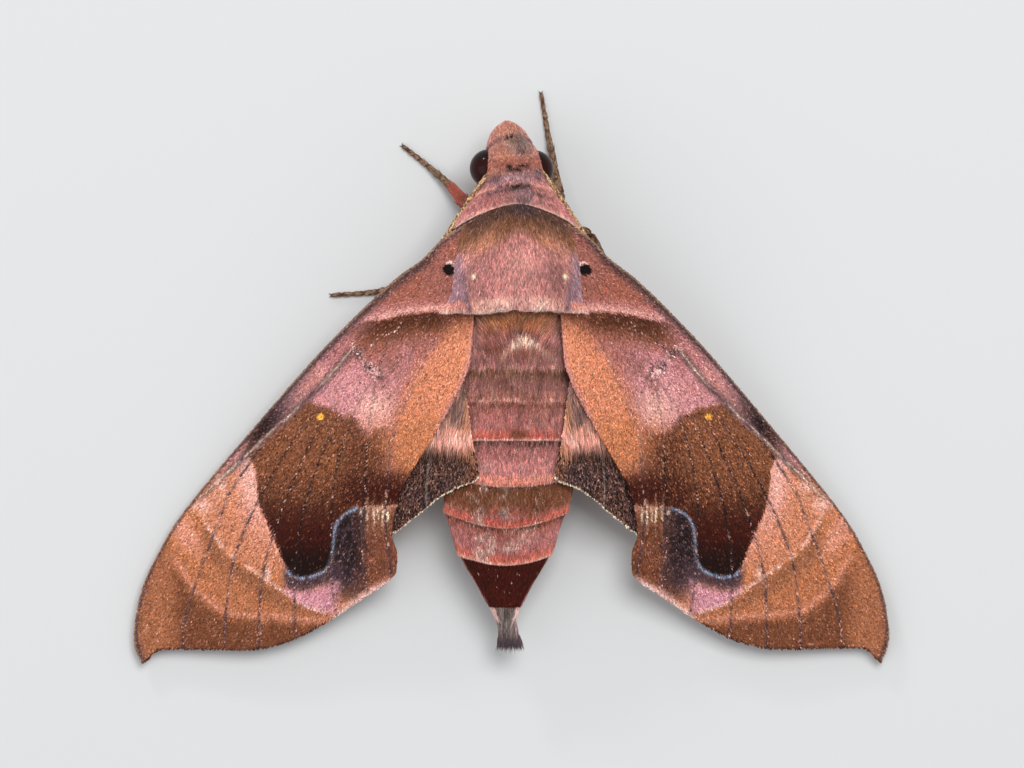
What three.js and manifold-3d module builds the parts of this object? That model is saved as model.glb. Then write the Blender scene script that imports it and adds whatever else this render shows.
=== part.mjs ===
// A hawk moth at rest with its wings half spread, as a life-size model in millimetres.
// +Z is up, +Y is the way the head points, and the floor is z = 0. The origin is on the floor,
// under the middle of the moth's bounding box.
import * as THREE from "three";
import { mergeVertices } from "three/addons/utils/BufferGeometryUtils.js";
import Module from "manifold-3d";

const wasm = await Module();
wasm.setup();

// ---- Driving dimensions -------------------------------------------------------------------------

const GAP = 0.3; // room between a piece and the neighbour that was cut to fit it
const SEAM = 0.16; // width of the thin cuts between neighbouring parts of the trunk
const FOREWING_THICKNESS = 0.55;
const HINDWING_THICKNESS = 0.52;
const WING_CLEARANCE = 0.28; // between forewing and hindwing, and between hindwing and abdomen
const EYE_RADIUS = 1.5;
const EYE_SIDES = 16; // and its sockets and clearances, which are turned with fewer
const SOCKET_SIDES = 14;
const EYE_PLACE = new THREE.Vector3(1.7, 16.3, 5.0);
const NECK = new THREE.Vector3(0, 13, 5); // the head turns and leans about this point
const HEAD_YAW = THREE.MathUtils.degToRad(4.4);
const HEAD_ROLL = THREE.MathUtils.degToRad(6);
const TRUNK_SIDES = 20;
const COLLAR_TIP = 13.5; // y where the collar's hind edge crosses the midline
const COLLAR_ARCH = 5.66; // radius of that edge, seen from above
const ARCH_SIDES = 32;
const FLAP_LINE = 3.85; // the side flaps start this far from the midline
const FLAP_LOW = 6.4; // and this far above the floor

// The trunk's outline, front to back: [y, half width, top z, bottom z].
const SNOUT = [
  [20.05, 0.28, 4.9, 3.6],
  [19.7, 0.88, 5.6, 3.1],
  [19.0, 1.48, 6.3, 2.5],
  [18.2, 1.78, 6.9, 2.2],
  [17.6, 2.0, 7.15, 2.15],
  [17.0, 2.12, 7.4, 2.1],
  [16.2, 2.18, 7.7, 2.1],
  [15.2, 2.4, 8.0, 2.2],
];
const SHOULDERS = [
  [15.2, 2.3, 8.0, 2.3],
  [14.2, 2.95, 8.6, 2.3],
  [13.2, 3.6, 9.2, 2.2],
  [12.2, 4.15, 9.8, 2.2],
  [11.2, 4.6, 10.2, 2.1],
  [9.8, 4.95, 10.6, 2.0],
  [8.0, 5.1, 10.8, 1.9],
  [6.4, 5.15, 10.5, 1.9],
  [5.2, 5.3, 9.9, 1.9],
];
// How square the upper half of a cross-section before the waist is, by its y; 2 is an ellipse.
const FULLNESS = [
  [20.05, 2.0],
  [18.9, 2.1],
  [17.7, 3.4],
  [16.4, 3.9],
  [15.4, 3.2],
  [14.2, 2.4],
  [12.8, 2.1],
  [11.2, 2.3],
  [9.5, 2.7],
  [7.5, 3.1],
  [6.2, 3.6],
  [5.2, 4.2],
];
const BELLY = [
  [5.2, 4.2, 8.9, 1.8],
  [3.6, 4.5, 8.6, 1.6],
  [1.4, 4.8, 8.6, 1.4],
  [-1.7, 5.1, 8.7, 1.2],
  [-4.8, 5.25, 8.6, 1.1],
  [-8.0, 5.15, 8.1, 1.1],
  [-10.1, 4.9, 7.6, 1.2],
  [-11.7, 4.4, 7.0, 1.4],
  [-13.3, 3.85, 6.4, 1.6],
  [-14.6, 3.2, 5.9, 1.9],
  [-16.3, 2.15, 5.1, 2.4],
  [-17.9, 1.36, 4.5, 2.8],
  [-18.8, 0.85, 4.1, 3.0],
];
const TUFT = [
  [-17.6, 1.3, 4.5, 2.9],
  [-18.8, 0.8, 4.0, 2.95],
  [-19.6, 0.74, 3.8, 2.9],
  [-20.4, 0.9, 3.6, 2.8],
  [-21.1, 1.05, 3.4, 2.75],
];
const ROUND = [
  [0, 2],
  [1, 2],
];
// How far the middle of the body lies to the right of the midline: the tail bends a little left.
const SWAY = [
  [5, 0],
  [0, -0.05],
  [-4.8, -0.18],
  [-7.6, -0.36],
  [-9.2, -0.52],
  [-11.2, -0.74],
  [-16, -0.76],
  [-17.9, -0.7],
  [-19.4, -0.5],
  [-21.1, -0.2],
];
// The abdomen's rings end at these y, front to back. The last is the dark cone before the tuft.
const RING_ENDS = [5.0, 2.6, 0.6, -1.9, -4.8, -8.5, -11.7, -14.6, -17.9];
const RING_FLARE = 0.1; // each ring's hind edge stands this far proud of the next

// The forewing's roof: the height of its ridge at each distance from the midline, and the ridge's
// y there. The surface falls away from the ridge as a parabola.
const RIDGE_HEIGHT = [
  [3, 9.1],
  [5, 8.75],
  [7, 8.1],
  [9.5, 7.0],
  [12, 6.0],
  [15, 4.9],
  [20, 3.3],
  [25, 1.95],
  [30, 1.15],
];
const RIDGE_LINE = [
  [3, 3.6],
  [9.5, 1],
  [20, -10],
  [30, -20],
];
const ROOF_FALL = 0.0115;

// Wing outlines seen from above, for the right side: [distance from the midline, y].
const FOREWING = {
  costa: [
    [4.5, 11.6],
    [5.8, 10.75],
    [7.35, 9.2],
    [9.95, 7.2],
    [15.0, 2.2],
    [21.1, -4.8],
    [25.65, -10.3],
    [27.6, -13.4],
    [29.05, -16.55],
    [29.65, -19.7],
    [29.5, -21.25],
    [28.95, -22.45],
  ],
  outer: [
    [28.95, -22.45],
    [28.5, -22.05],
    [27.95, -21.5],
    [27.0, -21.25],
    [22.8, -21.3],
    [19.9, -21.25],
    [17.05, -20.45],
    [14.15, -18.85],
    [11.3, -16.95],
    [9.85, -15.95],
    [9.2, -15.2],
  ],
  inner: [
    [3.4, 4.9],
    [3.55, 2.2],
    [3.85, 0.45],
    [5.2, -2.35],
    [7.1, -5.55],
    [8.7, -8.3],
    [9.3, -10.2],
    [9.55, -12.25],
    [9.15, -13.6],
    [9.2, -15.2],
  ],
  base: [
    [4.5, 11.6],
    [4.3, 8.5],
    [3.4, 4.9],
  ],
  across: 12,
  along: 20,
  crowding: 1.4, // the grid is finer towards the costa, for the hooked tip
};
const HINDWING = {
  costa: [
    [4.9, 4.8],
    [8.6, 1.8],
    [12.5, -2.6],
    [16.0, -7.2],
    [18.2, -11.2],
    [18.5, -12.7],
  ],
  outer: [
    [18.5, -12.7],
    [17.2, -13.9],
    [14.8, -14.35],
    [12.1, -13.55],
    [9.7, -12.3],
    [7.65, -10.75],
    [5.95, -9.3],
    [4.5, -8.4],
    [3.5, -8.05],
    [2.85, -7.6],
  ],
  inner: [
    [4.55, 3.2],
    [4.3, 1.0],
    [3.9, -1.5],
    [3.4, -4.8],
    [3.1, -6.2],
    [2.85, -7.6],
  ],
  base: [
    [4.9, 4.8],
    [4.7, 4.0],
    [4.55, 3.2],
  ],
  across: 9,
  along: 10,
  crowding: 1,
};

// Leg centre lines from inside the thorax to the claw, as [x, y, z], and the radius along each.
const LEGS = {
  leg_fore_left: {
    path: [[-1.7, 12.4, 3.2], [-3.2, 13.2, 2.2], [-4.95, 15.15, 1.0], [-6.65, 16.7, 0.3], [-8.6, 18.25, 0.2]],
    radii: [0.62, 0.55, 0.5, 0.34, 0.27],
  },
  leg_fore_right: {
    path: [[1.7, 12.4, 3.2], [3.45, 13.2, 2.3], [3.3, 16.5, 1.0], [2.8, 19.4, 0.3], [2.3, 22.4, 0.2]],
    radii: [0.62, 0.58, 0.46, 0.34, 0.27],
  },
  leg_mid_left: {
    path: [[-2.0, 8.6, 3.2], [-4.9, 9.9, 3.3], [-7.9, 7.5, 1.2], [-10.6, 6.8, 0.3], [-14.2, 6.5, 0.2]],
    radii: [0.66, 0.62, 0.46, 0.35, 0.27],
  },
  leg_mid_right: {
    path: [[2.0, 8.8, 3.2], [5.25, 11.35, 3.7], [8.0, 7.6, 1.2], [9.9, 5.2, 0.3], [11.9, 2.2, 0.2]],
    radii: [0.66, 0.64, 0.46, 0.35, 0.27],
  },
  leg_hind_left: {
    path: [[-2.2, 7.2, 3.0], [-6.5, 5.6, 3.2], [-9.5, -1.2, 1.2], [-11.0, -5.0, 0.3], [-12.9, -8.6, 0.2]],
    radii: [0.66, 0.66, 0.48, 0.35, 0.27],
  },
  leg_hind_right: {
    path: [[2.2, 7.2, 3.0], [6.5, 5.6, 3.2], [9.5, -1.2, 1.2], [11.0, -5.0, 0.3], [12.9, -8.6, 0.2]],
    radii: [0.66, 0.66, 0.48, 0.35, 0.27],
  },
};
const LEG_SIDES = 6;
const LEG_STEPS = 18;

// The feeler lies back along the neck and goes under the wing's front edge.
const FEELER = {
  path: [[1.35, 16.75, 6.9], [2.15, 15.85, 6.95], [3.0, 14.9, 6.5], [4.0, 13.5, 6.3],
    [4.8, 12.1, 6.3], [5.75, 10.4, 6.1], [7.6, 7.7, 5.5], [9.3, 5.4, 5.0], [10.3, 4.0, 4.8]],
  radii: [0.34, 0.3, 0.29, 0.3, 0.31, 0.31, 0.3, 0.28, 0.26],
};
const FEELER_SIDES = 6;
const FEELER_STEPS = 20;

// ---- Shape tools --------------------------------------------------------------------------------

// Smooth value at x through rows of [x, value, ...], read from the given column.
function along(rows, x, column = 1) {
  const rising = rows[0][0] < rows[rows.length - 1][0];
  const list = rising ? rows : [...rows].reverse();
  let i = 0;
  while (i < list.length - 2 && x > list[i + 1][0]) i += 1;
  const a = list[i];
  const b = list[i + 1];
  const slope = (p, q) => (q[column] - p[column]) / (q[0] - p[0]);
  const middle = slope(a, b);
  const turn = (p, q) => (p * q > 0 ? (2 * p * q) / (p + q) : 0);
  const m0 = i > 0 ? turn(slope(list[i - 1], a), middle) : middle;
  const m1 = i < list.length - 2 ? turn(middle, slope(b, list[i + 2])) : middle;
  const width = b[0] - a[0];
  const t = THREE.MathUtils.clamp((x - a[0]) / width, 0, 1);
  const t2 = t * t;
  const t3 = t2 * t;
  return (2 * t3 - 3 * t2 + 1) * a[column] + (t3 - 2 * t2 + t) * width * m0
    + (3 * t2 - 2 * t3) * b[column] + (t3 - t2) * width * m1;
}

// Moves each vertex of a geometry by a function from its place to its new place.
function reshape(geometry, move) {
  const place = geometry.getAttribute("position");
  const p = new THREE.Vector3();
  for (let i = 0; i < place.count; i += 1) {
    p.fromBufferAttribute(place, i);
    move(p);
    place.setXYZ(i, p.x, p.y, p.z);
  }
  return geometry;
}

// A stretch of the trunk from y = front back to y = rear, fattened by grow all round.
function trunkPiece(rows, front, rear, rings, { grow = 0, flare = 0, fullness = FULLNESS } = {}) {
  const whole = new THREE.CylinderGeometry(1, 1, 1, TRUNK_SIDES, rings);
  return reshape(whole, (p) => {
    const share = 0.5 - p.y;
    const y = THREE.MathUtils.lerp(front + grow, rear - grow, share);
    const wide = along(rows, y, 1) + grow + flare * share ** 3;
    const top = along(rows, y, 2) + grow + flare * share ** 3;
    const bottom = along(rows, y, 3) - grow;
    const full = p.z > 0 ? along(fullness, y) : 2;
    const round = Math.hypot(p.x, p.z);
    const swell = round > 0.5 ? (Math.abs(p.x) ** full + Math.abs(p.z) ** full) ** (-1 / full) : 1;
    const across = p.x * swell * wide + along(SWAY, y);
    p.set(across, y, (top + bottom) / 2 + (p.z * swell * (top - bottom)) / 2);
  });
}

// A tube along a smooth curve through points, with a radius that changes along it.
function tube(points, radii, sides, steps) {
  const curve = new THREE.CatmullRomCurve3(points.map((q) => new THREE.Vector3(...q)), false, "centripetal");
  const frames = curve.computeFrenetFrames(steps, false);
  const widths = radii.map((r, i) => [i / (radii.length - 1), r]);
  return reshape(new THREE.CylinderGeometry(1, 1, 1, sides, steps), (p) => {
    const share = p.y + 0.5;
    const i = Math.round(share * steps);
    const r = along(widths, share);
    const centre = curve.getPoint(share);
    const across = frames.normals[i].clone().multiplyScalar(p.x * r);
    const up = frames.normals[i].clone().cross(frames.tangents[i]).multiplyScalar(p.z * r);
    p.copy(centre).add(across).add(up);
  });
}

// Turns every face of a geometry round, after it has been mirrored.
function turnedFaces(geometry) {
  const index = geometry.getIndex();
  for (let i = 0; i < index.count; i += 3) {
    const first = index.getX(i);
    index.setX(i, index.getX(i + 1));
    index.setX(i + 1, first);
  }
  return geometry;
}

function ball(place, radius, sides) {
  return asSolid(new THREE.SphereGeometry(radius, sides, Math.round(sides * 0.65)).translate(...place.toArray()));
}

function asSolid(geometry) {
  const bare = geometry.clone();
  bare.deleteAttribute("normal");
  bare.deleteAttribute("uv");
  const merged = mergeVertices(bare, 1e-4);
  const vertProperties = merged.getAttribute("position").array;
  return new wasm.Manifold(new wasm.Mesh({ numProp: 3, vertProperties, triVerts: new Uint32Array(merged.index.array) }));
}

// The largest body of a solid, as a geometry.
function asGeometry(solid) {
  const bodies = solid.decompose().sort((a, b) => b.volume() - a.volume());
  const mesh = bodies[0].getMesh();
  const geometry = new THREE.BufferGeometry();
  geometry.setAttribute("position", new THREE.BufferAttribute(new Float32Array(mesh.vertProperties), 3));
  geometry.setIndex(new THREE.BufferAttribute(new Uint32Array(mesh.triVerts), 1));
  return geometry;
}

// ---- Wing surfaces ------------------------------------------------------------------------------

function forewingTop(away, y) {
  return along(RIDGE_HEIGHT, away) - ROOF_FALL * (y - along(RIDGE_LINE, away)) ** 2;
}

// The abdomen's back above a point at this distance from the midline, or the floor beside it.
function abdomenTop(distance, y, side) {
  const wide = along(BELLY, y, 1) + RING_FLARE;
  const away = Math.abs(distance - side * along(SWAY, y));
  if (away >= wide) return 0;
  const top = along(BELLY, y, 2) + RING_FLARE;
  const bottom = along(BELLY, y, 3);
  return (top + bottom) / 2 + ((top - bottom) / 2) * Math.sqrt(1 - (away / wide) ** 2);
}

// The hindwing follows the underside of the forewing and lies over the side of the abdomen.
function hindwingTop(away, y, side) {
  const under = forewingTop(away, y) - FOREWING_THICKNESS - WING_CLEARANCE;
  const over = abdomenTop(away, y, side) + HINDWING_THICKNESS + WING_CLEARANCE;
  const blend = 0.12;
  return (under + over + Math.sqrt((under - over) ** 2 + blend)) / 2;
}

// A wing as a patch between its four edges, curved to a surface and given a thickness.
function wingBlank(outline, top, thickness, side) {
  const edge = (points) => new THREE.SplineCurve(points.map((q) => new THREE.Vector2(...q)));
  const costa = edge(outline.costa);
  const inner = edge(outline.inner);
  const base = edge(outline.base);
  const outer = edge(outline.outer);
  const corners = [costa.getPoint(0), costa.getPoint(1), inner.getPoint(0), inner.getPoint(1)];
  const blank = new THREE.BoxGeometry(1, 1, 1, outline.across, outline.along, 1);
  reshape(blank, (p) => {
    const u = (p.x + 0.5) ** outline.crowding;
    const v = p.y + 0.5;
    const q = new THREE.Vector2();
    q.addScaledVector(costa.getPointAt(v), 1 - u).addScaledVector(inner.getPointAt(v), u);
    q.addScaledVector(base.getPointAt(u), 1 - v).addScaledVector(outer.getPointAt(u), v);
    q.addScaledVector(corners[0], -(1 - u) * (1 - v)).addScaledVector(corners[1], -(1 - u) * v);
    q.addScaledVector(corners[2], -u * (1 - v)).addScaledVector(corners[3], -u * v);
    p.set(side * q.x, q.y, top(q.x, q.y, side) - (p.z > 0 ? 0 : thickness));
  });
  return side < 0 ? turnedFaces(blank) : blank;
}

// ---- Materials ----------------------------------------------------------------------------------

const material = (color, roughness) => new THREE.MeshStandardMaterial({ color, roughness, metalness: 0 });
const HEAD_FUR = material("#a4604f", 0.9);
const COLLAR_FUR = material("#b0705f", 0.9);
const THORAX_FUR = material("#9a5f4b", 0.9);
const ABDOMEN_SCALES = material("#8e4c40", 0.85);
const TAIL_SCALES = material("#3a1611", 0.8);
const TUFT_HAIR = material("#6a5750", 0.9);
const FOREWING_SCALES = material("#955834", 0.75);
const HINDWING_SCALES = material("#4a2d24", 0.8);
const LEG_SCALES = material("#7a5a40", 0.85);
const FEELER_SCALES = material("#9c7750", 0.8);
const EYE_GLOSS = material("#2a0e0b", 0.15);

// ---- Assembly -----------------------------------------------------------------------------------

const moth = new THREE.Group();

function add(parent, name, solidOrGeometry, finish) {
  const geometry = solidOrGeometry.isBufferGeometry ? solidOrGeometry : asGeometry(solidOrGeometry);
  const mesh = new THREE.Mesh(geometry, finish);
  mesh.name = name;
  parent.add(mesh);
}

// A piece of the trunk, fattened, that cuts neighbours back from it.
const headRoom = asSolid(trunkPiece(SNOUT, 20.05, 15.2, 8, { grow: GAP }));
const thoraxRoom = asSolid(trunkPiece(SHOULDERS, 15.2, 5.2, 10, { grow: GAP }));

// The head leans and turns on the neck, so it and its parts share a group.
const head = new THREE.Group();
head.position.copy(NECK);
head.rotation.set(0, HEAD_ROLL, HEAD_YAW);
moth.add(head);

function buildHead() {
  const fromNeck = (solid) => solid.translate(NECK.clone().negate().toArray());
  const whole = asSolid(trunkPiece(SNOUT, 20.05, 15.35, 9));
  let skull = whole;
  for (const [side, name] of [[-1, "eye_left"], [1, "eye_right"]]) {
    const place = EYE_PLACE.clone();
    place.x *= side;
    skull = skull.subtract(ball(place, EYE_RADIUS + SEAM, SOCKET_SIDES));
    add(head, name, fromNeck(ball(place, EYE_RADIUS, EYE_SIDES)), EYE_GLOSS);
  }
  // The palps rise in front of the face: a slanting cut frees them, and one down the middle parts them.
  const slant = new THREE.Vector3(0, 0.85, -0.5).normalize();
  const foot = slant.dot(new THREE.Vector3(0, 17.6, 4.6));
  const face = skull.trimByPlane(slant.clone().negate().toArray(), -foot);
  const muzzle = whole.trimByPlane(slant.toArray(), foot + SEAM);
  add(head, "head", fromNeck(face), HEAD_FUR);
  add(head, "palp_left", fromNeck(muzzle.trimByPlane([-1, 0, 0], SEAM / 2)), HEAD_FUR);
  add(head, "palp_right", fromNeck(muzzle.trimByPlane([1, 0, 0], SEAM / 2)), HEAD_FUR);
}

// The collar's hind edge arches forward round the thorax, whose side flaps cover the wing hinges.
function buildThorax() {
  const whole = asSolid(trunkPiece(SHOULDERS, 15.05, 5.2, 14));
  const arch = (radius) => asSolid(new THREE.CylinderGeometry(radius, radius, 30, ARCH_SIDES)
    .rotateX(Math.PI / 2).translate(0, COLLAR_TIP - COLLAR_ARCH, 0));
  const rear = asSolid(new THREE.BoxGeometry(30, 30, 30).translate(0, COLLAR_TIP - COLLAR_ARCH - 15, 0));
  let collar = whole.subtract(arch(COLLAR_ARCH + SEAM)).trimByPlane([0, 1, 0], COLLAR_TIP - COLLAR_ARCH);
  for (const side of [-1, 1]) {
    const place = EYE_PLACE.clone().multiply(new THREE.Vector3(side, 1, 1)).sub(NECK);
    place.applyEuler(head.rotation).add(NECK);
    collar = collar.subtract(ball(place, EYE_RADIUS + GAP, SOCKET_SIDES));
  }
  const trunk = whole.intersect(arch(COLLAR_ARCH).add(rear));
  let core = trunk;
  for (const [side, name] of [[-1, "tegula_left"], [1, "tegula_right"]]) {
    const flap = trunk.trimByPlane([side, 0, 0], FLAP_LINE).trimByPlane([0, 0, 1], FLAP_LOW);
    const room = new THREE.BoxGeometry(20, 40, 20)
      .translate(side * (FLAP_LINE - SEAM + 10), 0, FLAP_LOW - SEAM + 10);
    core = core.subtract(asSolid(room));
    add(moth, name, flap, COLLAR_FUR);
  }
  add(moth, "collar", collar, COLLAR_FUR);
  add(moth, "thorax", core, THORAX_FUR);
}

function buildAbdomen() {
  RING_ENDS.slice(1).forEach((rear, i) => {
    const last = i === RING_ENDS.length - 2;
    const flare = last ? 0 : RING_FLARE;
    const ring = trunkPiece(BELLY, RING_ENDS[i], rear + SEAM, 3, { flare, fullness: ROUND });
    add(moth, `abdomen_${i + 1}`, ring, last ? TAIL_SCALES : ABDOMEN_SCALES);
  });
  add(moth, "tail_tuft", trunkPiece(TUFT, -17.9 - SEAM / 2, -21.1, 6, { fullness: ROUND }), TUFT_HAIR);
}

function buildWings() {
  for (const [side, end] of [[-1, "left"], [1, "right"]]) {
    const fore = asSolid(wingBlank(FOREWING, forewingTop, FOREWING_THICKNESS, side));
    const hind = asSolid(wingBlank(HINDWING, hindwingTop, HINDWING_THICKNESS, side));
    add(moth, `forewing_${end}`, fore.subtract(thoraxRoom), FOREWING_SCALES);
    add(moth, `hindwing_${end}`, hind.subtract(thoraxRoom), HINDWING_SCALES);
  }
}

// Each foot has a small flat on the floor.
function buildLegs() {
  for (const [name, { path, radii }] of Object.entries(LEGS)) {
    const leg = asSolid(tube(path, radii, LEG_SIDES, LEG_STEPS));
    add(moth, name, leg.subtract(thoraxRoom).trimByPlane([0, 0, 1], 0), LEG_SCALES);
  }
}

function buildFeelers() {
  for (const [side, name] of [[-1, "antenna_left"], [1, "antenna_right"]]) {
    const path = FEELER.path.map(([x, y, z]) => [side * x, y, z]);
    const feeler = asSolid(tube(path, FEELER.radii, FEELER_SIDES, FEELER_STEPS));
    add(moth, name, feeler.subtract(headRoom).subtract(thoraxRoom), FEELER_SCALES);
  }
}

buildHead();
buildThorax();
buildAbdomen();
buildWings();
buildLegs();
buildFeelers();

export default moth;
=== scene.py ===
"""A hawk moth at rest, life size: one skin, scales, fur, eyes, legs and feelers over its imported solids.

Lengths are in millimetres until a mesh is made, and the meshes are in metres. +Y is the way the head
points and +Z is up. Both wings are drawn as the right one, at a distance from the midline.
"""

import logging
import math
from collections.abc import Callable, Iterator
from dataclasses import dataclass, field
from enum import Enum

import bpy
import numpy as np
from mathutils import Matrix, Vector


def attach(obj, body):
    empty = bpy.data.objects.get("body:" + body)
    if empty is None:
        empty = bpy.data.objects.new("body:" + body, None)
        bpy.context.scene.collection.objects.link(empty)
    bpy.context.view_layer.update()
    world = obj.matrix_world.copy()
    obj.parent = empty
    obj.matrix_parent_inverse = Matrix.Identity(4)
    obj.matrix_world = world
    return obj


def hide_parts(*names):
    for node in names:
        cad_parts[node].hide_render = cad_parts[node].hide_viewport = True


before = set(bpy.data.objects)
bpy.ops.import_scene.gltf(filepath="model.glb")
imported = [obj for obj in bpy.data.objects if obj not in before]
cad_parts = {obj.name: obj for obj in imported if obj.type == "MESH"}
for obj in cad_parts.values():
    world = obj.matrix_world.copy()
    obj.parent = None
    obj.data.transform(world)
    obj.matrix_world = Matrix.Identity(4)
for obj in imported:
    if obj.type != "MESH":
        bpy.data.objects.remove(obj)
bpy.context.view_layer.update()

MM = 0.001
BAKE_MAP = "OFBake"
TUFT_PATCH = 0.003  # the size of one tuft's patch on that map
MARKINGS = "Markings"
LATTICE = 128  # how many random values lie along each side of the lattice behind the noise
SIDES = (("left", -1), ("right", 1))
Array = np.ndarray
Fields = dict[str, Array]
Rows = tuple[tuple[float, ...], ...]
log = logging.getLogger("hawk_moth")


# ---- Numbers ------------------------------------------------------------------------------------


def table(text: str) -> Rows:
    """Rows of numbers, written with commas between the rows."""
    return tuple(tuple(map(float, row.split())) for row in text.split(","))


def along(rows: Rows, x: Array, column: int = 1) -> Array:
    """A smooth value that never overshoots, read from rows of numbers.

    Args:
        rows: rows of (place, value, ...), in rising or falling order of place.
        x: the places to read at; beyond the ends the end value holds.
        column: which value of a row is read.

    Returns:
        One value for each place.
    """
    rows = np.array(sorted(rows), float)
    place, value = rows[:, 0], rows[:, column]
    slope = np.diff(value) / np.diff(place)
    product = slope[:-1] * slope[1:]
    total = np.where(product > 0, slope[:-1] + slope[1:], 1)
    turn = np.concatenate([slope[:1], np.where(product > 0, 2 * product / total, 0), slope[-1:]])
    x = np.asarray(x, float)
    i = np.clip(np.searchsorted(place, x) - 1, 0, len(place) - 2)
    width = place[i + 1] - place[i]
    t = np.clip((x - place[i]) / width, 0, 1)
    start = (2 * t**3 - 3 * t**2 + 1) * value[i] + (t**3 - 2 * t**2 + t) * width * turn[i]
    return start + (3 * t**2 - 2 * t**3) * value[i + 1] + (t**3 - t**2) * width * turn[i + 1]


def ramp(low: float, high: float, x: Array) -> Array:
    """A soft step from 0 at low to 1 at high; low may be the larger."""
    t = np.clip((np.asarray(x, float) - low) / (high - low), 0, 1)
    return t * t * (3 - 2 * t)


def bell(middle: float, width: float, x: Array) -> Array:
    """1 at the middle, fading to nothing over about this width on both sides."""
    return np.exp(-(((x - middle) / width) ** 2))


def unit(vectors: Array) -> Array:
    """The same vectors, one long."""
    return vectors / np.maximum(np.linalg.norm(vectors, axis=-1, keepdims=True), 1e-9)


def run_of(line: Array) -> Array:
    """How far along a line each of its points lies."""
    return np.concatenate([[0], np.cumsum(np.linalg.norm(np.diff(line, axis=0), axis=1))])


def read_at(x: Array, places: Array, values: Array) -> Array:
    """Rows of values between places, read at x."""
    return np.stack([np.interp(x, places, column) for column in values.T], -1)


def around(count: int) -> Array:
    """Evenly spaced angles of a full turn."""
    return np.arange(count) / count * 2 * math.pi


def noise(x: Array, y: Array, size: float, seed: int) -> Array:
    """Smooth random values from 0 to 1 over a plane, in lumps of the given size.

    Args:
        x, y: the points.
        size: of the lumps.
        seed: for the lattice of random values that they lie between.

    Returns:
        One value for each point.
    """
    lattice = np.random.default_rng(seed).random((LATTICE, LATTICE))
    x, y = np.asarray(x) / size + 37.3, np.asarray(y) / size + 61.7
    i, j = np.floor(x).astype(int), np.floor(y).astype(int)
    s, t = ramp(0, 1, x - i), ramp(0, 1, y - j)
    here, next_one = ([lattice[(i + a) % LATTICE, (j + b) % LATTICE] for b in (0, 1)] for a in (0, 1))
    return (here[0] * (1 - t) + here[1] * t) * (1 - s) + (next_one[0] * (1 - t) + next_one[1] * t) * s


def clouds(x: Array, y: Array, size: float, seed: int) -> Array:
    """Noise of three sizes added up, from 0 to 1."""
    return sum(noise(x, y, size / 2**k, seed + k) / 2**k for k in range(3)) / 1.75


def layers(recipe: str, fields: Fields) -> Iterator[tuple[str, Array]]:
    """Works out the layers of a recipe.

    Args:
        recipe: a line for each layer: its name, its strength, and the factors it is multiplied by. A factor
            is a field, field:low:high for a soft step along it, or field~middle~width for a bell over it.
            field/centre is how far it is from the centre, @x@y how far off that point is, and ! takes
            the factor from 1.
        fields: values for each point, by name; a layer may read what was added to them before it.

    Yields:
        The name and the amounts of each layer.
    """
    for line in recipe.strip().splitlines():
        layer, strength, *factors = line.split()
        amount = float(strength) * np.ones(fields["y"].shape)
        for factor in factors:
            name, *numbers = factor.strip("!").replace("~", ":").split(":")
            if name[0] == "@":
                place = [float(number) for number in name[1:].split("@")]
                value = np.hypot(fields["x"] - place[0], fields["y"] - place[1])
            else:
                name, _, centre = name.partition("/")
                value = np.abs(fields[name] - float(centre)) if centre else fields[name]
            if numbers:
                value = (bell if "~" in factor else ramp)(*map(float, numbers), value)
            amount *= 1 - value if factor[0] == "!" else value
        yield layer, amount


@dataclass(frozen=True)
class Trace:
    """A smooth line through a few points of a plane, for outlines and markings."""

    points: Rows
    steps: int = 8

    def drawn(self) -> Array:
        """The line as many short straight pieces.

        Returns:
            The ends of the pieces, row by row.
        """
        p = np.array(self.points, float)
        p = np.vstack([p[:1], p, p[-1:]])
        t = (np.arange(self.steps) / self.steps)[:, None]
        spans = []
        for a, b, c, d in zip(p, p[1:], p[2:], p[3:]):
            bend = (2 * a - 5 * b + 4 * c - d) * t**2 + (3 * b - a - 3 * c + d) * t**3
            spans.append(b + 0.5 * ((c - a) * t + bend))
        return np.vstack([*spans, p[-1:]])

    def at(self, share: Array) -> Array:
        """Points at these shares of the line's length.

        Args:
            share: from 0 at the line's start to 1 at its end.

        Returns:
            One point for each share.
        """
        line = self.drawn()
        run = run_of(line)
        return read_at(np.asarray(share, float) * run[-1], run, line)

    def measure(self, x: Array, y: Array, reach: float = 1e3) -> tuple[Array, Array]:
        """How far points lie from the line.

        Args:
            x, y: the points.
            reach: points further off than this may be left at this distance.

        Returns:
            The distance, positive on the left of the line's way, and the run along the line.
        """
        line = self.drawn()
        low, high = line.min(0) - reach, line.max(0) + reach
        near = np.flatnonzero((x > low[0]) & (x < high[0]) & (y > low[1]) & (y < high[1]))
        best, side, run = np.full(len(near), float(reach)), np.ones(len(near)), np.zeros(len(near))
        px, py, gone = x[near], y[near], 0.0
        for (ax, ay), (bx, by) in zip(line, line[1:]):
            dx, dy = bx - ax, by - ay
            length = math.hypot(dx, dy)
            t = np.clip(((px - ax) * dx + (py - ay) * dy) / length**2, 0, 1)
            apart = np.hypot(px - ax - t * dx, py - ay - t * dy)
            closer = apart < best
            best[closer] = apart[closer]
            side[closer] = np.sign(dx * (py - ay) - dy * (px - ax))[closer]
            run[closer] = gone + (t * length)[closer]
            gone += length
        distance, place = np.full(x.shape, float(reach)), np.zeros(x.shape)
        distance[near], place[near] = best * np.where(side < 0, -1, 1), run
        return distance, place

    def band(self, x: Array, y: Array, width: float) -> Array:
        """1 on the line, fading to nothing over about this distance on both sides."""
        return bell(0, width, self.measure(x, y, 3 * width)[0])


def trace(text: str) -> Trace:
    """The line through the points of a table."""
    return Trace(table(text))


# ---- Colours ------------------------------------------------------------------------------------


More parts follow.
